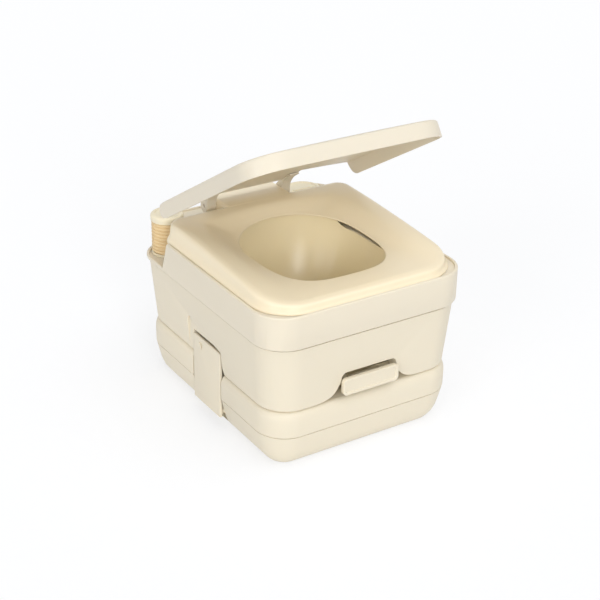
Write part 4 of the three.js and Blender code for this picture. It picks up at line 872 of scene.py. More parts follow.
@dataclass
class Sizes:
    """Sizes that several sub-assemblies share."""

    waste_top: float = 0.093
    water_base: float = 0.0934
    band_bottom: float = 0.196
    rim_top: float = 0.246
    deck_top: float = 0.243
    rim_width: float = 0.0045
    gap: float = 0.00035
    wall: float = 0.003
    band: Outline = Outline.box(0.333, 0.394, 0.049)
    latch_y: float = -0.005
    latch_half: float = 0.039
    latch_gap: float = 0.003
    latch_face: float = 0.1575
    latch_thick: float = 0.0045
    pocket_back: float = 0.137
    pin_x: float = 0.148
    pin_z: float = 0.032
    handle_half: float = 0.047
    hinge: Vector = fixed(0, 0.150, 0.266)
    pump: Vector = fixed(-0.129, 0.1635, 0)
    filler: Vector = fixed(0.112, 0.162, 0)
    spout: Vector = fixed(0.095, 0.150, 0)
    vent: Vector = fixed(-0.022, 0.158, 0)
    outlet_y: float = -0.010
    outlet_radius: float = 0.042
    hinge_bore: float = 0.00335
    opening_half: float = 0.094
    opening_front: float = 0.138
    opening_rear: float = 0.0735
    opening_middle: float = -0.016
    front_power: float = 3.25
    rear_power: float = 2.15
    lip_side: float = 0.2555
    lip_front: float = 0.255
    lip_rear: float = 0.2615
    lip_drop: float = 0.0025
    bowl_room: float = 0.006
    bowl_under_lip: float = 0.0047
    bowl_dip: float = 0.008
    bowl_dip_shares: Sequence[Pair] = ((-62, 0), (-42, 0.4), (-16, 1), (20, 1), (27, 0))
    bowl_neck: float = 0.134
    bowl_foot: float = 0.1225
    bowl_shares: Sequence[Pair] = (
        (0, 0), (0.14, 0.03), (0.34, 0.13), (0.54, 0.3), (0.72, 0.52), (0.87, 0.77), (1, 1),
    )

    def opening(self, angle: float, grow: float) -> Vector:
        """The point of the egg-shaped opening at an angle, grown by a distance."""
        ahead = math.sin(angle) < 0
        power = self.front_power if ahead else self.rear_power
        middle = self.opening_middle
        length = self.opening_front + middle if ahead else self.opening_rear - middle
        across = abs(math.cos(angle)) / (self.opening_half + grow)
        along = abs(math.sin(angle)) / (length + grow)
        reach = 1 / (across**power + along**power) ** (1 / power)
        return Vector((reach * math.cos(angle), middle + reach * math.sin(angle), 0))

    def lip_at(self, angle: float) -> float:
        """The height of the seat's lip at an angle round the opening."""
        end = self.lip_front if math.sin(angle) < 0 else self.lip_rear
        return blend(self.lip_side, end, math.sin(angle) ** 2)

    def bowl_rim_at(self, angle: float) -> float:
        """The height of the bowl's rim, close under the lip but for a dip on the right."""
        turned = math.degrees(math.atan2(math.sin(angle), math.cos(angle)))
        dip = self.bowl_dip * share_at(self.bowl_dip_shares, turned)
        return self.lip_at(angle) - self.bowl_under_lip - dip

    def cut_outlet(self, piece: Piece, clear: float, low: float, high: float) -> None:
        """Cuts the room for the bowl's outlet between two heights."""
        y, radius = self.outlet_y, self.outlet_radius + clear
        Bench.drill(piece, (0, y, low), (0, y, high), radius, 64)

    def ear(
        self, side: int, start: float, width: float, radius: float, root: float, sides: int = 36
    ) -> Piece:
        """A round ear on a latch's pin, with its web.

        Args:
            side: -1 for the left latch, 1 for the right one.
            start: where the ear starts along the pin.
            width: its width along the pin.
            radius: its radius.
            root: how far from the middle of the object the web ends.
            sides: steps round the ear.

        Returns:
            The closed piece.
        """
        x, z, end = side * self.pin_x, self.pin_z, start + width
        ear = Bench.rod("ear", (x, start, z), (x, end, z), radius, sides)
        low, high = sorted((x, side * root))
        Bench.weld(ear, Bench.cube("web", (low, start, z - radius), (high, end, z + radius)))
        return ear

    def bowl_rings(self, count: int, grow: float) -> list[list[Vector]]:
        """The bowl from its rim down to its foot, where the egg shape has narrowed to the round outlet.

        Args:
            count: points in each ring.
            grow: how far the rings are drawn out.

        Returns:
            The rings, from the top down.
        """
        angles = [math.tau * i / count for i in range(count)]
        turns = [Vector((math.cos(a), math.sin(a), 0)) for a in angles]
        outlet = Vector((0, self.outlet_y, 0))
        rings = []
        for depth, close in curve_through(self.bowl_shares, 5):
            ring = []
            for angle, turn in zip(angles, turns):
                wide = self.opening(angle, self.bowl_room + grow)
                flat = wide.lerp(outlet + turn * (self.outlet_radius + grow), close)
                ring.append(Vector((flat.x, flat.y, blend(self.bowl_rim_at(angle), self.bowl_neck, depth))))
            rings.append(ring)
        rings.append([Vector((p.x, p.y, self.bowl_foot)) for p in rings[-1]])
        return rings


@dataclass
class WasteTank:
    """The lower tank: a blown shell with a round shoulder, a mould line and a tucked foot."""

    sizes: Sizes
    outline: Outline = Outline.box(0.3154, 0.3815, 0.047)
    widest: float = 0.0775
    shoulder_in: float = 0.0085
    below: Sequence[Pair] = (
        (0.0544, 0.0003), (0.0520, 0.0010), (0.040, 0.0037), (0.0235, 0.0079), (0.014, 0.0122),
        (0.006, 0.0182), (0.002, 0.0218), (0.0, 0.0245),
    )
    shoulder_steps: int = 7
    start_height: float = 0.001
    pocket_round: float = 0.0016
    pocket_low: float = 0.012
    lug_radius: float = 0.00465
    lug_width: float = 0.006
    line: Pair = (0.0529, 0.0541)
    line_depth: float = 0.0022
    neck_radius: float = 0.020
    neck_rise: float = 0.008
    neck_bore: float = 0.017
    neck_foot: float = 0.088
    neck_floor: float = 0.08
    vent_bore: float = 0.00435
    vent_floor: float = 0.072
    outlet_clear: float = 0.0034
    lug_clear: float = 0.0001

    def build(self) -> None:
        """Builds and dresses the tank."""
        s = self.sizes
        foot = self.widest - self.start_height
        tank = Bench.raised_plate("waste_tank", self.outline, foot, self.start_height)
        Bench.tidy(tank)
        angles = [math.pi / 2 * i / self.shoulder_steps for i in range(1, self.shoulder_steps + 1)]
        rise = s.waste_top - self.widest
        shoulder = [(self.widest + rise * math.sin(a), self.shoulder_in * (1 - math.cos(a))) for a in angles]
        Bench.step_in(tank, self.widest, shoulder, 1)
        Bench.step_in(tank, foot, self.below, -1)
        Bench.carve(tank, self.mould_line(), self.pocket(-1), self.pocket(1))

        def in_pocket(p: Vector) -> bool:
            """Whether a point lies in the room cut for a latch."""
            across = abs(p.y - s.latch_y) < s.latch_half + s.latch_gap + NEAR
            return across and abs(p.x) > s.pocket_back - NEAR and p.z > self.pocket_low - NEAR

        Bench.round_edges(tank, self.pocket_round, 3, in_pocket)
        self.add_neck(tank)
        self.add_lugs(tank)
        s.cut_outlet(tank, self.outlet_clear, s.waste_top - 0.023, s.waste_top + 0.027)
        Bench.tidy(tank, CLOSE)
        Dresser.fit(tank, "tanks", Finish.TANK, ["lower_tank"])

    def mould_line(self) -> Piece:
        """The fine groove that runs round the tank."""
        low, high = self.line
        ring = Bench.block("mould_line", self.outline.inset(-0.01), low, high)
        core = self.outline.inset(self.line_depth)
        Bench.carve(ring, Bench.block("core", core, low - LAP, high + LAP, 16))
        return ring

    def pocket(self, side: int) -> Piece:
        """The room cut for a side latch."""
        s = self.sizes
        half = s.latch_half + s.latch_gap
        x = outward(side, s.pocket_back)
        low = (x[0], s.latch_y - half, self.pocket_low)
        return Bench.cube("pocket", low, (x[1], s.latch_y + half, s.waste_top + ROOM))

    def add_neck(self, tank: Piece) -> None:
        """The neck that the spout turns on, and its bore."""
        s = self.sizes
        top = s.waste_top + self.neck_rise
        x, y = s.spout.x, s.spout.y
        Bench.weld(tank, Bench.rod("neck", (x, y, self.neck_foot), (x, y, top), self.neck_radius, 56))
        Bench.drill(tank, (x, y, self.neck_floor), (x, y, top + PAST), self.neck_bore, 56)
        x, y = s.vent.x, s.vent.y
        Bench.drill(tank, (x, y, self.vent_floor), (x, y, self.vent_floor + 0.048), self.vent_bore)

    def add_lugs(self, tank: Piece) -> None:
        """The latch hinge's lugs, in the same object."""
        s = self.sizes
        half = s.latch_half + s.latch_gap - self.lug_clear
        starts = (s.latch_y - half, s.latch_y + half - self.lug_width)
        size = (self.lug_width, self.lug_radius, s.pocket_back - 0.002, 32)
        lugs = [s.ear(side, at, *size) for side in (-1, 1) for at in starts]
        Bench.join(tank, *lugs)


@dataclass
class WaterTank:
    """The upper tank: tapered, arched over the handle, cut out for latches, spout and valve."""

    sizes: Sizes
    foot: Outline = Outline.box(0.310, 0.377, 0.047)
    head: Outline = Outline.box(0.327, 0.388, 0.047)
    top: float = 0.19565
    knee: float = 0.0045
    arch_top: float = 0.135
    arch_flare: float = 0.052
    arch_back: float = -0.161
    tunnel_half: float = 0.06395
    tunnel_rear: float = 0.056
    tunnel_top: float = 0.1271
    alcove: Sequence[float] = (-0.048, 0.131, 0.117, 0.156)
    cheek_depth: float = 0.0022
    cheek_rear: float = 0.049
    cheek_top: float = 0.152
    cheek_rows: Sequence[Pair] = ((0, 0.012), (0.004, 0.003), (0.009, 0.001), (0.018, 0.007))
    latch_top: float = 0.131
    ledge_top: float = 0.109
    ledge_thick: float = 0.005
    room_floor: float = 0.184
    knee_steps: int = 5
    arch_round: float = 0.0030
    latch_round: float = 0.0012
    alcove_round: float = 0.0020
    alcove_corner: float = 0.010
    arch_corner: float = 0.009
    arch_rows: Sequence[Pair] = ((1, 0), (0.8, 0.035), (0.5, 0.1), (0.27, 0.22), (0.12, 0.42), (0.03, 0.64))
    ledge_x: Pair = (0.1355, 0.14711)
    ledge_half: float = 0.0236
    outlet_clear: float = 0.0036
    room_in: float = 0.0035
    bowl_clear: float = 0.0034
    neck_in: float = 0.0024
    neck_rise: float = 0.0021

    def build(self) -> None:
        """Builds and dresses the tank."""
        s = self.sizes
        start = s.water_base + self.knee
        tank = Bench.raised_plate("water_tank", self.foot, start, self.top - self.neck_rise - start)
        grow = (self.head.half_width / self.foot.half_width, self.head.rear / self.foot.rear, 1)
        bpy.ops.transform.resize(value=grow, center_override=(0, 0, self.top))
        Bench.inset(self.neck_in)
        Bench.pull(self.neck_rise)
        Bench.tidy(tank)
        angles = [math.pi / 2 * i / self.knee_steps for i in range(1, self.knee_steps + 1)]
        knee = [(start - self.knee * math.sin(a), self.knee * (1 - math.cos(a))) for a in angles]
        Bench.step_in(tank, start, knee, -1)
        Bench.carve(tank, self.top_room(), self.bowl_room(), self.arch(), self.tunnel(), self.alcove_room())
        for side in (-1, 1):
            Bench.carve(tank, self.cheek(side), self.latch_room(side))
        for width, segments, sharp, place in (
            (self.arch_round, 4, 50, lambda p: p.y < self.arch_back - NEAR and abs(p.x) < 0.1 and p.z < 0.15),
            (self.latch_round, 3, 25, lambda p: abs(p.x) > 0.138 and abs(p.y) < 0.065),
            (self.alcove_round, 3, 50, lambda p: p.y > self.alcove[2] - NEAR and p.z < 0.17),
        ):
            Bench.round_edges(tank, width, segments, place, sharp)
        for side in (-1, 1):
            x = sorted(side * v for v in self.ledge_x)
            low = (x[0], s.latch_y - self.ledge_half, self.ledge_top - self.ledge_thick)
            Bench.weld(tank, Bench.cube("ledge", low, (x[1], s.latch_y + self.ledge_half, self.ledge_top)))
        s.cut_outlet(tank, self.outlet_clear, 0.12, 0.2)
        Bench.tidy(tank, CLOSE)
        Dresser.fit(tank, "tanks", Finish.TANK, ["upper_tank"])

    def top_room(self) -> Piece:
        """The open top inside the wall."""
        return Bench.block("room", self.head.inset(self.room_in), self.room_floor, self.top + PAST)

    def bowl_room(self) -> Piece:
        """The room round the bowl."""
        room = Bench.skin("bowl_room", self.sizes.bowl_rings(72, self.bowl_clear))
        Bench.cap_end(room)
        return room

    def arch(self) -> Piece:
        """The room over the handle, flared at its foot."""
        base, half = self.sizes.water_base, self.sizes.handle_half - self.sizes.gap
        flare, corner = self.arch_flare, self.arch_corner
        rise = self.arch_top - base
        control = [(half + flare * out, base + rise * up) for out, up in self.arch_rows]
        right = curve_through([*control, (half, self.arch_top - corner)], 5)
        right += arc_pairs((half - corner, self.arch_top - corner), corner, 10, 90, 6)
        right = [(half + flare + 0.003, base - PAST), *right]
        pairs = [*right, *[(-x, z) for x, z in reversed(right)]]
        return Bench.prism("arch", pairs, "Y", -0.25, self.arch_back)

    def tunnel(self) -> Piece:
        """The room for the slide valve."""
        low = (-self.tunnel_half, self.arch_back - 0.005, self.sizes.water_base - PAST)
        return Bench.cube("tunnel", low, (self.tunnel_half, self.tunnel_rear, self.tunnel_top))

    def alcove_room(self) -> Piece:
        """The room for the spout and the vent, open to the rear."""
        left, right, front, top = self.alcove
        pairs = rounded_pairs((left, right), (self.sizes.water_base - 0.02, top), self.alcove_corner)
        return Bench.prism("alcove", pairs, "Y", front, 0.25)

    def cheek(self, side: int) -> Piece:
        """The shallow step in the wall round the latch."""
        s = self.sizes
        front = s.latch_y - s.latch_half - s.latch_gap
        crest = [(self.cheek_rear - back, self.cheek_top - down) for back, down in self.cheek_rows]
        pairs = [
            (front, s.water_base - 0.005),
            (self.cheek_rear, s.water_base - 0.005),
            *curve_through([*crest, (front, self.latch_top)], 4),
        ]
        return Bench.prism("cheek", pairs, "X", *outward(side, s.latch_face - self.cheek_depth))

    def latch_room(self, side: int) -> Piece:
        """The room for a side latch, flared at the foot in front."""
        s = self.sizes
        half = s.latch_half + s.latch_gap
        low, front, rear = s.water_base, s.latch_y - half, s.latch_y + half
        pairs = [
            (front - 0.011, low - 0.006),
            (rear, low - 0.006),
            (rear, self.latch_top),
            (front, self.latch_top),
            (front, low + 0.020),
            (front - 0.0012, low + 0.011),
            (front - 0.0042, low + 0.004),
        ]
        return Bench.prism("latch_room", pairs, "X", *outward(side, s.pocket_back))


@dataclass
class Deck:
    """Band, deck and bowl: the moulding that closes the water tank."""

    sizes: Sizes
    round: float = 0.0024
    pocket_side: float = 0.098
    pocket_front: float = 0.128
    pocket_corner: Pair = (0.131, 0.124)
    pocket_start: float = 0.0925
    pocket_slant: float = 0.019
    pump_floor: float = 0.198
    pocket_lip: float = 0.0055
    foot_in: float = 0.001
    foot_rise: float = 0.0020
    chamfer: float = 0.0006
    round_steps: int = 4
    pocket_round: float = 0.0010
    bowl_clear: float = 0.0075
    rim_reach: float = 0.0084
    rim_drop: float = 0.0004
    bowl_wall: float = 0.0024
    bowl_steps: int = 112
    neck_radius: float = 0.024
    neck_bore: float = 0.021
    neck_rise: float = 0.005
    pump_bores: Sequence[Pair] = ((0, 0.00835), (0.014, 0.00395))
    lug_x: float = 0.034
    lug_half: float = 0.007
    lug_radius: float = 0.0066

    def build(self) -> None:
        """Builds and dresses the moulding."""
        s = self.sizes
        foot = s.band.inset(self.foot_in)
        band = Bench.raised_plate("deck_band", foot, s.band_bottom, self.foot_rise, 16)
        grow = (s.band.half_width / foot.half_width, s.band.rear / foot.rear, 1)
        bpy.ops.transform.resize(value=grow, center_override=(0, 0, 0))
        Bench.tidy(band)
        Bench.edit(band)
        Bench.pick_faces(band, lambda f: f.normal.z > 0.9)
        Bench.pull(s.rim_top - self.round - s.band_bottom - self.foot_rise)
        for i in range(self.round_steps):
            a, b = (math.pi / 2 * n / self.round_steps for n in (i, i + 1))
            Bench.inset(self.round * (math.cos(a) - math.cos(b)), self.round * (math.sin(b) - math.sin(a)))
        Bench.inset(s.rim_width - self.round - self.chamfer)
        Bench.inset(self.chamfer, -self.chamfer)
        Bench.pull(s.deck_top - s.rim_top + self.chamfer)
        Bench.tidy(band)
        Bench.carve(band, self.hollow(), self.pocket_cut(), self.bowl_cut())
        corner_x, corner_y = -self.pocket_side + 0.008, self.pocket_start - 0.0025
        Bench.round_edges(
            band,
            self.pocket_round,
            3,
            lambda p: p.x < corner_x and p.y > corner_y and p.z > self.pump_floor - NEAR,
            45,
        )
        self.add_details(band)
        Bench.tidy(band, CLOSE)
        Dresser.fit(band, "tanks", Finish.BAND, ["bowl_deck"])
        self.build_bowl()

    def pocket(self, wall: float) -> Piece:
        """The pump's room, grown by a wall."""
        s = self.sizes
        plan = [
            (-FAR, self.pocket_start - wall * 1.2),
            (-s.band.half_width + s.rim_width - wall, self.pocket_start - wall * 1.2),
            (-self.pocket_corner[0] + wall * 0.4, self.pocket_corner[1] - wall),
            (-self.pocket_side + wall, self.pocket_front - wall),
            (-self.pocket_side + wall, FAR),
            (-FAR, FAR),
        ]
        room = Bench.prism("pocket", plan, "Z", self.pump_floor - wall, s.rim_top + 0.02)
        slope = [
            (self.pocket_start + self.pocket_slant - wall, self.pump_floor - wall),
            (FAR, self.pump_floor - wall),
            (FAR, s.rim_top + PAST),
            (self.pocket_start - wall, s.rim_top + PAST),
        ]
        Bench.combine(room, Bench.prism("slope", slope, "X", -FAR, PAST), "INTERSECT")
        return room

    def hollow(self) -> Piece:
        """The room under the deck, clear of the pump's pocket."""
        s = self.sizes
        room = Bench.block("hollow", s.band.inset(s.rim_width), s.band_bottom - PAST, s.deck_top - s.wall)
        Bench.carve(room, self.pocket(s.wall))
        return room

    def pocket_cut(self) -> Piece:
        """The pump's room without the low lip that runs round the corner."""
        s = self.sizes
        room = self.pocket(0)
        lip = Bench.block("lip", s.band.inset(-0.02), s.band_bottom - 0.02, s.band_bottom + self.pocket_lip)
        core_outline = s.band.inset(s.rim_width - self.chamfer)
        Bench.carve(lip, Bench.block("core", core_outline, s.band_bottom - 0.04, s.band_bottom + 0.04, 16))
        Bench.carve(room, lip)
        return room

    def bowl_cut(self) -> Piece:
        """The hole in the deck for the bowl."""
        s = self.sizes
        pairs = [tuple(s.opening(math.tau * i / 72, self.bowl_clear)[:2]) for i in range(72)]
        return Bench.prism("bowl_cut", pairs, "Z", 0.18, 0.26)

    def add_details(self, band: Piece) -> None:
        """Hinge lugs, filler neck and the pump's holes."""
        s = self.sizes
        h, r = s.hinge, self.lug_radius
        for side in (-1, 1):
            low, high = side * self.lug_x - self.lug_half, side * self.lug_x + self.lug_half
            lug = Bench.rod("lug", (low, h.y, h.z), (high, h.y, h.z), r, 40)
            Bench.weld(lug, Bench.cube("post", (low, h.y - r, s.deck_top - LAP), (high, h.y + r, h.z)))
            Bench.drill(lug, (low - PAST, h.y, h.z), (high + PAST, h.y, h.z), s.hinge_bore)
            Bench.weld(band, lug)
        x, y, top = s.filler.x, s.filler.y, s.deck_top
        neck = Bench.rod("neck", (x, y, top - LAP), (x, y, top + self.neck_rise), self.neck_radius, 56)
        Bench.weld(band, neck)
        Bench.drill(band, (x, y, 0.2), (x, y, 0.27), self.neck_bore, 56)
        for away, radius in self.pump_bores:
            x = s.pump.x + away
            Bench.drill(band, (x, s.pump.y, 0.18), (x, s.pump.y, 0.21), radius, 32)

    def build_bowl(self) -> None:
        """The bowl, open at its rim and at its foot."""
        s = self.sizes
        count = self.bowl_steps
        rings = s.bowl_rings(count, 0)
        edge = [s.opening(math.tau * i / count, self.rim_reach) for i in range(count)]
        rim = [Vector((p.x, p.y, high.z - self.rim_drop)) for p, high in zip(edge, rings[0])]
        bowl = Bench.skin("bowl", [rim, *rings])
        Bench.tidy(bowl)
        inward = bowl.data.polygons[count * 10]
        middle = Vector((0, s.opening_middle, 0.22))
        if inward.normal.dot(middle - inward.center) < 0:
            bowl.data.flip_normals()
        Bench.thicken(bowl, self.bowl_wall)
        Dresser.fit(bowl, "tanks", Finish.BOWL, angle=50)


@dataclass
class Seat:
    """The seat: a shell, high at the rear, dished towards its opening, with the hinge hump behind."""

    sizes: Sizes
    outline: Outline = Outline(0.1612, -0.1917, 0.123, 0.0646, 0.027)
    foot: float = 0.24345
    rear_top: float = 0.2758
    front_top: float = 0.2545
    shoulder: float = 0.016
    shell: float = 0.0032
    crown: Sequence[Pair] = (
        (0, 0), (0.055, 0.1), (0.12, 0.24), (0.21, 0.45), (0.37, 0.64), (0.53, 0.79), (0.7, 0.92),
        (0.85, 0.98), (1, 1),
    )
    wall_rows: Sequence[Pair] = (
        (0, 0), (0.12, 0.015), (0.33, 0.235), (0.72, 0.34), (0.87, 0.45), (0.95, 0.63), (1, 1),
    )
    dish_rows: Sequence[Pair] = (
        (0, 0), (0.22, 0.015), (0.42, 0.09), (0.58, 0.28), (0.75, 0.58), (0.9, 0.86), (1, 1),
    )
    lip_rows: Sequence[Pair] = ((-0.0006, 0.2), (-0.0009, 0.45), (-0.0006, 0.8), (0.0, 1.0))
    steps: int = 14
    hump_half: float = 0.057
    hump_top: float = 0.2762
    hump_front: float = 0.1038
    hump_rear: float = 0.165
    hump_drop: float = 0.0132
    hump_round: float = 0.006
    hump_wall: float = 0.008
    room_rise: float = 0.0072

    def crown_at(self, y: float) -> float:
        """The crown's height at a place along the seat."""
        share = (y - self.outline.front) / (self.outline.rear - self.outline.front)
        return blend(self.front_top, self.rear_top, share_at(self.crown, share))

    def build(self) -> None:
        """Builds and dresses the seat."""
        s = self.sizes
        rings = []
        for height_share, in_share in curve_through(self.wall_rows, 3):
            ring = self.outline.inset(in_share * self.shoulder).points(self.steps, self.steps)
            heights = [blend(self.foot, self.crown_at(p.y), height_share) for p in ring]
            rings.append([Vector((p.x, p.y, z)) for p, z in zip(ring, heights)])
        base = self.outline.inset(self.shoulder).points(self.steps, self.steps)
        angles = [math.atan2(p.y - s.opening_middle, p.x) for p in base]
        for way, fall in curve_through(self.dish_rows, 4)[1:]:
            ring = []
            for p, angle in zip(base, angles):
                flat = p.lerp(s.opening(angle, 0), way)
                ring.append(Vector((flat.x, flat.y, blend(self.crown_at(p.y), s.lip_at(angle), fall))))
            rings.append(ring)
        for grow, share in self.lip_rows:
            lift = [s.lip_at(a) - s.lip_drop * share for a in angles]
            rings.append([Vector((*s.opening(a, grow)[:2], z)) for a, z in zip(angles, lift)])
        seat = Bench.skin("seat_ring", rings)
        Bench.tidy(seat)
        Bench.face_up(seat)
        Bench.thicken(seat, self.shell)
        Bench.join(seat, self.hump(), *self.bosses())
        Dresser.fit(seat, "seat", Finish.SEAT, ["seat"], 44)

    def hump(self) -> Piece:
        """The hinge hump: a rounded box, hollow over the deck's lugs."""
        h = self.sizes.hinge
        low = (-self.hump_half, self.hump_front, h.z - self.hump_drop)
        hump = Bench.cube("hump", low, (self.hump_half, self.hump_rear, self.hump_top))
        above, behind = low[2] + LAP, self.hump_front + PAST
        Bench.round_edges(hump, self.hump_round, 6, lambda p: p.z > above or p.y > behind)
        half = self.hump_half - self.hump_wall
        room_low = (-half, self.outline.rear - self.shell, low[2] - PAST)
        Bench.carve(hump, Bench.cube("room", room_low, (half, self.hump_rear + PAST, h.z + self.room_rise)))
        Bench.drill(hump, (-0.1, h.y, h.z), (0.1, h.y, h.z), self.sizes.hinge_bore)
        return hump

    def bosses(self) -> list[Piece]:
        """The bosses under the shell that stand on the pads."""
        found = []
        for place in ("front_left", "front_right", "rear_left", "rear_right"):
            low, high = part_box(f"seat_pad_{place}")
            top = self.crown_at((low.y + high.y) / 2) - self.shell * 1.6
            found.append(Bench.cube("boss", (low.x, low.y, high.z + self.sizes.gap), (high.x, high.y, top)))
        return found


@dataclass
class Lid:
    """The lid: a shallow shell with a crown, drawn closed about the hinge and swung half open."""

    sizes: Sizes
    half_width: float = 0.1615
    reach: float = 0.3435
    corner: float = 0.052
    end_corner: float = 0.020
    rear: float = 0.018
    skirt: float = -0.010
    edge: float = 0.0145
    crown: float = 0.0075
    edge_round: float = 0.0045
    shell: float = 0.0028
    left: float = 0.031
    nose: float = 0.021
    right: float = 0.057
    slant: float = 0.016
    knuckle_in: float = 0.0576
    knuckle_width: float = 0.016
    knuckle_radius: float = 0.0096
    open_degrees: float = 31.6
    draft: float = 0.0008
    edge_steps: int = 7
    end_round: float = 0.0006
    cut_clear: float = 0.0004
    top_shares: Sequence[float] = (0.02, 0.05, 0.1, 0.18, 0.28, 0.4, 0.54, 0.68, 0.82, 0.93)
    slant_rows: Sequence[Pair] = ((0, 0.72), (0.12, 0.5), (0.34, 0.26), (0.66, 0.09), (1, 0))

    def crown_at(self, x: float, y: float) -> float:
        """The top's height over a point."""
        across = min(abs(x) / self.half_width, 1)
        middle = -(self.reach + self.rear) / 2
        along = min(abs(y - middle) / ((self.reach - self.rear) / 2), 1)
        return self.edge + self.crown * (1 - across**2) * (1 - along**3.2)

    def build(self) -> None:
        """Builds and dresses the lid."""
        outline = Outline(self.half_width, -self.reach, -self.rear, self.corner, self.end_corner)
        rows = [(0, self.skirt), (0.0002, self.skirt + 0.004), (0.0006, self.edge - self.edge_round * 1.3)]
        for i in range(self.edge_steps + 1):
            a = math.pi / 2 * i / self.edge_steps
            inward = self.draft + self.edge_round * (1 - math.cos(a))
            rows.append((inward, self.edge - self.edge_round * (1 - math.sin(a))))
        rings = []
        for inward, height in rows:
            rings.append([Vector((p.x, p.y, height)) for p in outline.inset(inward).points(12, 12)])
        last = outline.inset(rows[-1][0]).points(12, 12)
        centre = Vector((0, -(self.reach + self.rear) / 2, 0))
        for share in self.top_shares:
            ring = [p.lerp(centre, share) for p in last]
            rings.append([Vector((p.x, p.y, self.crown_at(p.x, p.y))) for p in ring])
        lid = Bench.skin("lid_shell", rings)
        self.close_top(lid)
        Bench.face_up(lid)
        Bench.thicken(lid, self.shell)
        Bench.carve(lid, self.right_cut(), self.left_cut(), self.middle_cut())
        for side in (-1, 1):
            Bench.weld(lid, self.arm(side))
        Bench.drill(lid, (-0.08, 0, 0), (0.08, 0, 0), self.sizes.hinge_bore)
        Bench.round_edges(lid, self.end_round, 2, lambda p: p.y > -0.1 and abs(p.x) > 0.07, 50)
        Bench.tidy(lid, CLOSE)
        swing = Matrix.Rotation(-math.radians(self.open_degrees), 4, "X")
        lid.data.transform(Matrix.Translation(self.sizes.hinge) @ swing)
        Dresser.fit(lid, "lid", Finish.LID, ["lid"], 40)

    def close_top(self, lid: Piece) -> None:
        """Closes the skin's small upper opening with one face."""
        shape = bmesh.new()
        shape.from_mesh(lid.data)
        edges = [e for e in shape.edges if e.is_boundary and all(v.co.z > self.edge for v in e.verts)]
        bmesh.ops.contextual_create(shape, geom=edges)
        bmesh.ops.recalc_face_normals(shape, faces=shape.faces[:])
        shape.to_mesh(lid.data)
        shape.free()

    def right_cut(self) -> Piece:
        """The slanted end over the filler."""
        slope = self.edge - self.skirt
        curve = [(-self.right - self.slant * out, self.skirt + slope * up) for out, up in self.slant_rows]
        pairs = [
            (-self.right - self.slant - 0.002, self.skirt - PAST),
            (PAST, self.skirt - PAST),
            (PAST, ROOM),
            (-self.right, ROOM),
            *curve_through(curve, 5),
        ]
        start = self.knuckle_in + self.knuckle_width + self.cut_clear
        return Bench.prism("right_cut", pairs, "X", start, FAR)

    def left_cut(self) -> Piece:
        """The round nose over the pump."""
        radius = (self.edge - self.skirt) / 2
        start = -self.left - self.nose
        turn = arc_pairs((0, 0), 1, 90, -90, 18)
        curve = [(start + self.nose * a, self.skirt + radius * (1 + b)) for a, b in turn]
        low = self.skirt - PAST
        pairs = [(start, low), (PAST, low), (PAST, ROOM), (start, ROOM), *curve]
        end = -self.knuckle_in - self.knuckle_width - self.cut_clear
        return Bench.prism("left_cut", pairs, "X", -FAR, end)

    def middle_cut(self) -> Piece:
        """The opening in the rear wall over the hump."""
        wall = self.shell + self.end_round
        side = self.half_width - wall
        low = (-side, -self.right, self.skirt - PAST)
        return Bench.cube("middle_cut", low, (side, PAST, self.edge - wall))

    def arm(self, side: int) -> Piece:
        """A hinge arm with its knuckle."""
        low = self.knuckle_in if side > 0 else -self.knuckle_in - self.knuckle_width
        high = low + self.knuckle_width
        r, edge = self.knuckle_radius, self.edge
        reach = self.rear + self.left
        under = [(-r * 0.92, -r * 0.35), (-r * 1.3, r * 0.1), (-r * 1.9, r * 0.6)]
        pairs = curve_through([*under, (-r * 3.2, edge - 0.0042), (-reach, edge - 0.00295)], 4)
        pairs += [(-reach, edge - 0.0006), (-self.rear, edge - 0.0001)]
        pairs += [(-r * 0.4, r * 1.1), (r * 0.55, r * 0.75), (0, 0)]
        arm = Bench.prism("arm", pairs, "X", low, high)
        Bench.weld(arm, Bench.rod("knuckle", (low, 0, 0), (high, 0, 0), r, 48))
        return arm


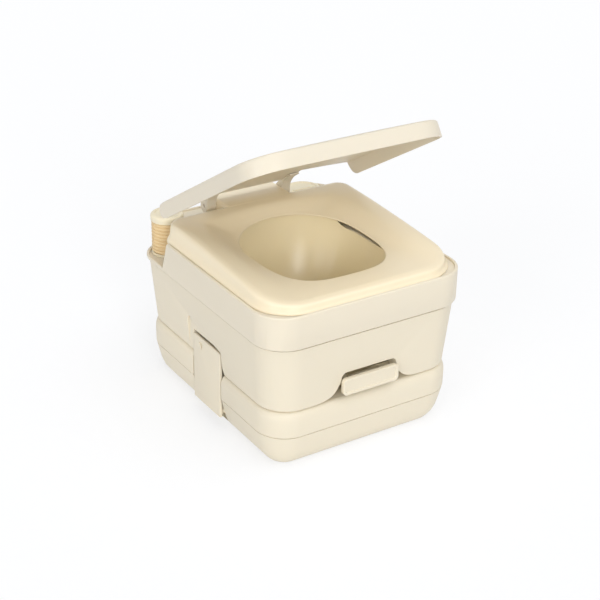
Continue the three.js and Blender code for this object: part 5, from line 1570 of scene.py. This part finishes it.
@dataclass
class Pump:
    """The bellows pump: base, ribbed bellows and cap."""

    sizes: Sizes
    low: float = 0.2023
    high: float = 0.25165
    reach: float = 0.024
    valley: float = 0.0218
    bore: float = 0.0189
    ribs: int = 9
    rib_steps: int = 10
    rib_power: float = 0.55
    wall: float = 0.0016
    cap_low: float = 0.252
    cap_high: float = 0.263
    cap_radius: float = 0.0252
    foot_round: float = 0.0018
    brow_round: float = 0.0045
    dish_round: float = 0.0014
    stroke: float = 0.030

    def build(self) -> None:
        """Builds and dresses the pump."""
        self.build_bellows()
        self.build_cap()

    def build_bellows(self) -> None:
        """The ribbed sleeve, in fine round ribs."""
        pitch = (self.high - self.low) / self.ribs
        outer, inner = [], []
        for rib in range(self.ribs):
            for i in range(self.rib_steps):
                t = i / self.rib_steps
                wave = 0.5 - 0.5 * math.cos(math.tau * t)
                height = self.low + pitch * (rib + t)
                outer.append((blend(self.valley, self.reach, wave**self.rib_power), height))
                inner.append((blend(self.bore, self.reach - self.wall, wave), height))
        outer.append((self.valley, self.high))
        inner.append((self.bore, self.high))
        profile = [*outer, *reversed(inner), outer[0]]
        bellows = Bench.turn("bellows", profile, self.sizes.pump, steps=84)
        Dresser.fit(bellows, "tanks", Finish.BELLOWS, ["pump_bellows"], 60)
        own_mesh(bellows)

    def build_cap(self) -> None:
        """The press cap: a dished round button with a soft rim."""
        r, low, high = self.cap_radius, self.cap_low, self.cap_high
        soft, brow, dish = self.foot_round, self.brow_round, self.dish_round
        profile = [
            (0, low),
            (r - soft, low),
            *arc_pairs((r - soft, low + soft), soft, -90, 0, 5)[1:],
            *arc_pairs((r - brow, high - brow), brow, 0, 90, 9),
            (r - 0.0062, high - 0.0004),
            *arc_pairs((r - 0.0076, high - 0.0002), dish, 0, -90, 5),
            (r * 0.5, high - 0.0021),
            (r * 0.25, high - 0.0024),
            (0, high - 0.0025),
        ]
        cap = Bench.turn("pump_button", profile, self.sizes.pump, steps=84)
        Dresser.fit(cap, "pump_top", Finish.CAP, ["pump_cap"], 40)


@dataclass
class Handle:
    """The valve's pull handle: a rounded plate with a raised border round its finger panel."""

    sizes: Sizes
    face: float = -0.197
    back: float = -0.190
    border: float = 0.005
    panel_depth: float = 0.0017
    corner: float = 0.007
    rim: float = 0.0009
    bevel: float = 0.0012
    round: float = 0.0008
    boss: Pair = (0.025, 0.006)
    boss_round: float = 0.0012
    slot: Pair = (0.02035, 0.00195)
    pin_bore: float = 0.00235

    def build(self) -> None:
        """Builds and dresses the handle."""
        low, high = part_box("valve_handle")
        half = self.sizes.handle_half
        plate = Bench.cube("pull_handle", (-half, self.face, low.z), (half, self.back, high.z))
        Bench.round_along(plate, 1, self.corner, 10)
        bpy.ops.mesh.select_mode(type="FACE")
        Bench.pick_faces(plate, lambda f: f.normal.y < -0.9)
        Bench.inset(self.rim)
        Bench.inset(self.border - self.rim - self.bevel)
        Bench.inset(self.bevel, -self.panel_depth)
        bpy.ops.object.mode_set(mode="OBJECT")
        Bench.round_edges(plate, self.round, 4, lambda p: p.y < self.face + 0.0001, 60)
        Bench.round_edges(plate, self.round, 3, lambda p: p.y > self.back - 0.0001, 60)
        middle = (low.z + high.z) / 2
        x, z = self.boss
        boss = Bench.cube("boss", (-x, self.back - 0.002, middle - z), (x, high.y, middle + z))
        x, z = self.slot
        slot = Bench.cube("slot", (-x, self.back, middle - z), (x, high.y + PAST, middle + z))
        Bench.round_edges(boss, self.boss_round, 3)
        Bench.carve(boss, slot)
        pin_y = (self.back + high.y) / 2
        Bench.drill(boss, (0, pin_y, middle - 0.02), (0, pin_y, middle + 0.02), self.pin_bore)
        Bench.join(plate, boss)
        Dresser.fit(plate, "valve_slide_plate", Finish.TANK, ["valve_handle"], 40)


@dataclass
class Latches:
    """The side latches: a plate hinged low on the waste tank, hooked over the water tank's ledge."""

    sizes: Sizes
    bottom: float = 0.0205
    top: float = 0.127
    ear_radius: float = 0.0065
    ear_width: float = 0.006
    hook_reach: float = 0.0095
    hook_low: float = 0.1096
    hook_thick: float = 0.005
    hook_half: float = 0.023
    corner: float = 0.0030
    round: float = 0.0011
    ear_reach: float = 0.0354
    pin_bore: float = 0.00255
    arrow: float = 0.0125
    arrow_place: Pair = (0.0156, 0.0073)
    arrow_depth: float = 0.003

    def build(self) -> None:
        """Builds and dresses both latches."""
        for side, name in ((-1, "left"), (1, "right")):
            latch = self.make(side, name)
            Dresser.fit(latch, f"{name}_latch", Finish.TANK, [f"latch_{name}"], 40)

    def make(self, side: int, name: str) -> Piece:
        """One latch."""
        s = self.sizes
        inner = s.latch_face - s.latch_thick
        x = outward(side, inner, s.latch_thick)
        low = (x[0], s.latch_y - s.latch_half, self.bottom)
        plate = Bench.cube(f"side_latch_{name}", low, (x[1], s.latch_y + s.latch_half, self.top))
        Bench.round_along(plate, 0, self.corner, 6)
        Bench.round_edges(plate, self.round, 3, sharp=60)
        y, z = s.latch_y + self.arrow_place[0], self.top - self.arrow_place[1]
        mark = [(y - self.arrow / 2, z), (y + self.arrow / 2, z), (y, z - self.arrow * 0.92)]
        Bench.carve(plate, Bench.prism("arrow", mark, "X", *outward(side, s.latch_face - self.arrow_depth)))
        parts = []
        for start in (s.latch_y - self.ear_reach, s.latch_y + self.ear_reach - self.ear_width):
            ear = s.ear(side, start, self.ear_width, self.ear_radius, inner + s.latch_thick / 2)
            x, end = side * s.pin_x, start + self.ear_width
            Bench.drill(ear, (x, start - PAST, s.pin_z), (x, end + PAST, s.pin_z), self.pin_bore)
            parts.append(ear)
        tip = inner - self.hook_reach
        hook = [
            (inner + 0.002, self.hook_low),
            (inner + 0.002, self.hook_low + self.hook_thick * 1.8),
            (tip + LAP, self.hook_low + self.hook_thick),
            (tip, self.hook_low + self.hook_thick - 0.0012),
            (tip, self.hook_low),
        ]
        pairs = [(side * a, b) for a, b in hook]
        parts.append(Bench.prism("hook", pairs, "Y", s.latch_y - self.hook_half, s.latch_y + self.hook_half))
        Bench.join(plate, *parts)
        return plate


@dataclass
class Caps:
    """Filler cap, pouring spout with its cap, and the vent button."""

    sizes: Sizes
    cap_low: float = 0.24335
    cap_top: float = 0.25295
    cap_radius: float = 0.029
    cap_wall: float = 0.0026
    neck_radius: float = 0.02435
    roof: float = 0.2503
    cap_round: float = 0.0016
    dish_round: float = 0.0012
    dish_depth: float = 0.0013
    bar: Pair = (0.018, 0.0022)
    bar_round: float = 0.0007
    grips: int = 28
    grip_radius: float = 0.0011
    grip_out: float = 0.0004
    spout_foot: float = 0.09335
    spout_shoulder: float = 0.1033
    spout_rise: float = 0.0224
    pipe: float = 0.020
    dome: float = 0.0206
    spout_bore: float = 0.0164
    spout_round: float = 0.0008
    collar_bore: float = 0.02035
    collar_out: float = 0.02335
    collar_round: float = 0.0015
    end_wall: float = 0.003
    end_round: float = 0.0022
    vent_under: float = 0.09635
    vent_stem: float = 0.004

    def build(self) -> None:
        """Builds and dresses the caps and the spout."""
        self.build_filler()
        self.build_spout()
        self.build_spout_cap()
        self.build_vent()

    def build_filler(self) -> None:
        """The filler cap: a ribbed skirt under a dished top with a finger bar."""
        c, r, low, top = self.sizes.filler, self.cap_radius, self.cap_low, self.cap_top
        soft, dish = self.cap_round, self.dish_round
        profile = [
            (0, self.roof),
            (self.neck_radius, self.roof),
            (self.neck_radius, low),
            (r - 0.0004, low),
            (r, low + 0.0004),
            *arc_pairs((r - soft, top - soft), soft, 0, 90, 6),
            (r - 0.005, top),
            *arc_pairs((r - dish - 0.005, top - 0.0001), dish, 5, -90, 4),
            (r * 0.4, top - self.dish_depth),
            (0, top - self.dish_depth),
        ]
        cap = Bench.turn("filler_lid_cap", profile, c, steps=84)
        self.cut_grips(cap, Vector((c.x, c.y, low - 0.005)), Vector((c.x, c.y, top - self.cap_wall)), r)
        x, y = self.bar
        bar = Bench.cube("bar", (c.x - x, c.y - y, top - 0.002), (c.x + x, c.y + y, top - 0.00005))
        Bench.round_edges(bar, self.bar_round, 3)
        Bench.join(cap, bar)
        Dresser.fit(cap, "filler_lid", Finish.CAP, ["filler_cap"], 40)

    def cut_grips(self, cap: Piece, start: Vector, end: Vector, radius: float) -> None:
        """Cuts grip grooves round a cap whose axis runs from start to end, one groove copied round."""
        axis = (end - start).normalized()
        away = axis.orthogonal().normalized() * (radius + self.grip_out)
        first = Bench.rod("grips", start + away, end + away, self.grip_radius, 14)
        copies = []
        for i in range(1, self.grips):
            groove = first.copy()
            groove.data = first.data.copy()
            bpy.context.scene.collection.objects.link(groove)
            about = Matrix.Rotation(math.tau * i / self.grips, 4, axis)
            groove.data.transform(Matrix.Translation(start) @ about @ Matrix.Translation(-start))
            copies.append(groove)
        Bench.join(first, *copies)
        Bench.carve(cap, first)

    def build_spout(self) -> None:
        """The pouring spout: a domed elbow on a collar."""
        foot, shoulder, dome = self.spout_foot, self.spout_shoulder, self.dome
        low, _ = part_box("pour_spout")
        axis_z = shoulder + self.spout_rise
        x, y, _ = self.sizes.spout
        profile = [(0, shoulder + LAP), (dome, shoulder + LAP)]
        profile += arc_pairs((0, axis_z), dome, 0, 90, 12)[:-1]
        elbow = Bench.turn("spout_elbow", [*profile, (0, axis_z + dome)], (x, y, 0), steps=64)
        Bench.weld(elbow, Bench.rod("pipe", (low.x, y, axis_z), (x, y, axis_z), self.pipe, 64))
        inner, outer, soft = self.collar_bore, self.collar_out, self.collar_round
        profile = [
            (inner, foot),
            (outer - 0.0002, foot),
            (outer, foot + 0.0003),
            *arc_pairs((outer - soft, shoulder + soft), soft, 0, 90, 5),
            (0, shoulder + soft * 2),
            (0, shoulder),
            (inner, shoulder),
            (inner, foot),
        ]
        Bench.weld(elbow, Bench.turn("collar", profile, (x, y, 0), steps=64))
        for start in ((low.x - PAST, y, axis_z), (x, y, foot - 0.00335)):
            Bench.drill(elbow, start, (x, y, axis_z), self.spout_bore, 48)
        Bench.round_edges(elbow, self.spout_round, 3, lambda p: p.x < low.x + LAP, 60)
        Dresser.fit(elbow, "spout", Finish.TANK, ["pour_spout"], 40)

    def build_spout_cap(self) -> None:
        """The spout's cap, ribbed round its side."""
        low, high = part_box("spout_cap")
        y, z, r = self.sizes.spout.y, (low.z + high.z) / 2, (high.z - low.z) / 2
        wall, soft = low.x + self.end_wall, self.end_round
        turn = arc_pairs((r - soft, 0), soft, -90, 0, 6)
        profile = [
            (0, low.x + 0.0006),
            (r * 0.62, low.x + 0.0006),
            (r * 0.68, low.x),
            *[(a, low.x + soft + b) for a, b in turn],
            (r, high.x),
            (self.collar_bore, high.x),
            (self.collar_bore, wall),
            (0, wall),
        ]
        cap = Bench.turn("spout_end", profile, (0, y, z), axis="X", steps=72)
        self.cut_grips(cap, Vector((wall, y, z)), Vector((high.x + 0.005, y, z)), r)
        Dresser.fit(cap, "spout_end_cap", Finish.CAP, ["spout_cap"], 40)

    def build_vent(self) -> None:
        """The vent button: a domed head on its stem."""
        low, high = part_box("vent_button")
        r, under, soft = (high.x - low.x) / 2, self.vent_under, self.end_round
        profile = [
            (0, low.z),
            (self.vent_stem, low.z),
            (self.vent_stem, under),
            (r - 0.0005, under),
            (r, under + 0.0005),
            *arc_pairs((r - soft, high.z - soft), soft, 0, 80, 6),
            (r * 0.5, high.z - 0.0002),
            (0, high.z),
        ]
        button = Bench.turn("vent_head", profile, self.sizes.vent, steps=48)
        Dresser.fit(button, "vent", Finish.CAP, ["vent_button"], 40)


# Stage


@dataclass
class Studio:
    """Camera, lamps, floor and background."""

    azimuth: float = -32.904
    elevation: float = 26.930
    distance: float = 2.14503
    lens: float = 86.31
    shift: Pair = (0.004566, 0.003431)
    roll: float = 1.078
    aim_height: float = 0.150
    sky: float = 0.38
    floor_glow: float = 1.04
    floor_share: float = 0.65
    floor_height: float = -0.0003
    white: Sequence[float] = (1.0, 1.0, 1.0, 1.0)
    sky_colour: Sequence[float] = (0.985, 0.99, 1.0, 1.0)
    floor_colour: Sequence[float] = (0.92, 0.935, 0.965, 1.0)
    suns: Sequence[tuple[str, Sequence[float], float, float]] = (
        ("front_light", (-0.24, -0.89, 0.36), 0.93, 22.0),
        ("left_light", (-0.86, -0.40, 0.26), 0.84, 30.0),
        ("top_light", (0.1, -0.24, 0.96), 1.35, 60.0),
    )

    def build(self) -> None:
        """Sets up the stage."""
        bpy.context.scene.view_settings.view_transform = "Standard"
        self.camera()
        self.lamps()
        self.world()
        self.floor()

    def camera(self) -> None:
        """The camera at the photograph's viewing angle."""
        a, e, roll = (math.radians(v) for v in (self.azimuth, self.elevation, self.roll))
        back = Vector((math.sin(a) * math.cos(e), -math.cos(a) * math.cos(e), math.sin(e)))
        level = Vector((math.cos(a), math.sin(a), 0))
        upright = back.cross(level)
        right = level * math.cos(roll) + upright * math.sin(roll)
        up = upright * math.cos(roll) - level * math.sin(roll)
        aim = Vector((0, 0, self.aim_height))
        place = aim + back * self.distance + right * self.shift[0] + up * self.shift[1]
        data = bpy.data.cameras.new("camera")
        data.lens, data.sensor_width = self.lens, 36.0
        data.clip_start, data.clip_end = 0.05, 50.0
        camera = bpy.data.objects.new("camera", data)
        bpy.context.scene.collection.objects.link(camera)
        turn = Matrix((right, up, back)).transposed()
        camera.matrix_world = Matrix.Translation(place) @ turn.to_4x4()
        bpy.context.scene.camera = camera

    def lamps(self) -> None:
        """Three wide soft suns: one at the front, one at the left and one overhead."""
        for name, source, strength, spread in self.suns:
            bpy.ops.object.light_add(type="SUN", location=Vector(source) * 2)
            lamp = bpy.context.object
            lamp.name = name
            lamp.data.energy, lamp.data.angle = strength, math.radians(spread)
            lamp.rotation_euler = (-Vector(source)).to_track_quat("-Z", "Y").to_euler()

    def world(self) -> None:
        """An even soft sky that shows white to the camera and in reflections."""
        tree = Tree(bpy.data.worlds.new("studio"))
        bpy.context.scene.world = tree.owner
        bright = tree.node("ShaderNodeBackground", None, {"Color": self.white})
        soft = tree.node("ShaderNodeBackground", None, {"Color": self.sky_colour, "Strength": self.sky})
        mixed = tree.node("ShaderNodeMixShader", None, {0: tree.shown(), 1: soft, 2: bright})
        tree.end(mixed, "ShaderNodeOutputWorld")

    def floor(self) -> None:
        """A plain pale floor: white to the camera, with the object's soft shadow."""
        Bench.clear()
        bpy.ops.mesh.primitive_plane_add(size=14, location=(0, 0, self.floor_height))
        floor = bpy.context.object
        floor.name = "floor"
        tree = Tree(bpy.data.materials.new("pale_floor"))
        matt = tree.node("ShaderNodeBsdfDiffuse", None, {"Color": self.floor_colour})
        lit = tree.node("ShaderNodeEmission", None, {"Color": self.white, "Strength": self.floor_glow})
        share = tree.shown() * self.floor_share
        tree.end(tree.node("ShaderNodeMixShader", None, {0: share, 1: matt, 2: lit}))
        floor.data.materials.append(tree.owner)


PAINTED_NODES: dict[Finish, str] = {
    Finish.SEAL: "seat_pad_front_left seat_pad_front_right seat_pad_rear_left seat_pad_rear_right "
    "filler_gasket valve_seal_lower valve_seal_upper bowl_outlet_seal spout_gasket",
    Finish.INNER: "pump_strainer pump_suction_tube flush_tube valve_body valve_cover valve_blade",
    Finish.CAP: "pump_base",
    Finish.BOWL: "flush_nozzle",
    Finish.STEEL: "hinge_pin valve_handle_pin valve_screw_1 valve_screw_2 valve_screw_3 valve_screw_4 "
    "latch_pin_left latch_pin_right",
}


def main() -> None:
    """Builds the toilet's pieces in order and dresses what stays of the CAD."""
    logging.basicConfig(level=logging.INFO, format="%(name)s: %(message)s")
    sizes = Sizes()
    Studio().build()
    for assembly in (WasteTank, WaterTank, Deck, Seat, Lid, Pump, Handle, Latches, Caps):
        assembly(sizes).build()
    for finish, names in PAINTED_NODES.items():
        for name in names.split():
            Dresser.paint_node(name, finish)
    log.info("%d new pieces", Dresser.count)
    Bench.clear()


if __name__ == "__main__":
    main()
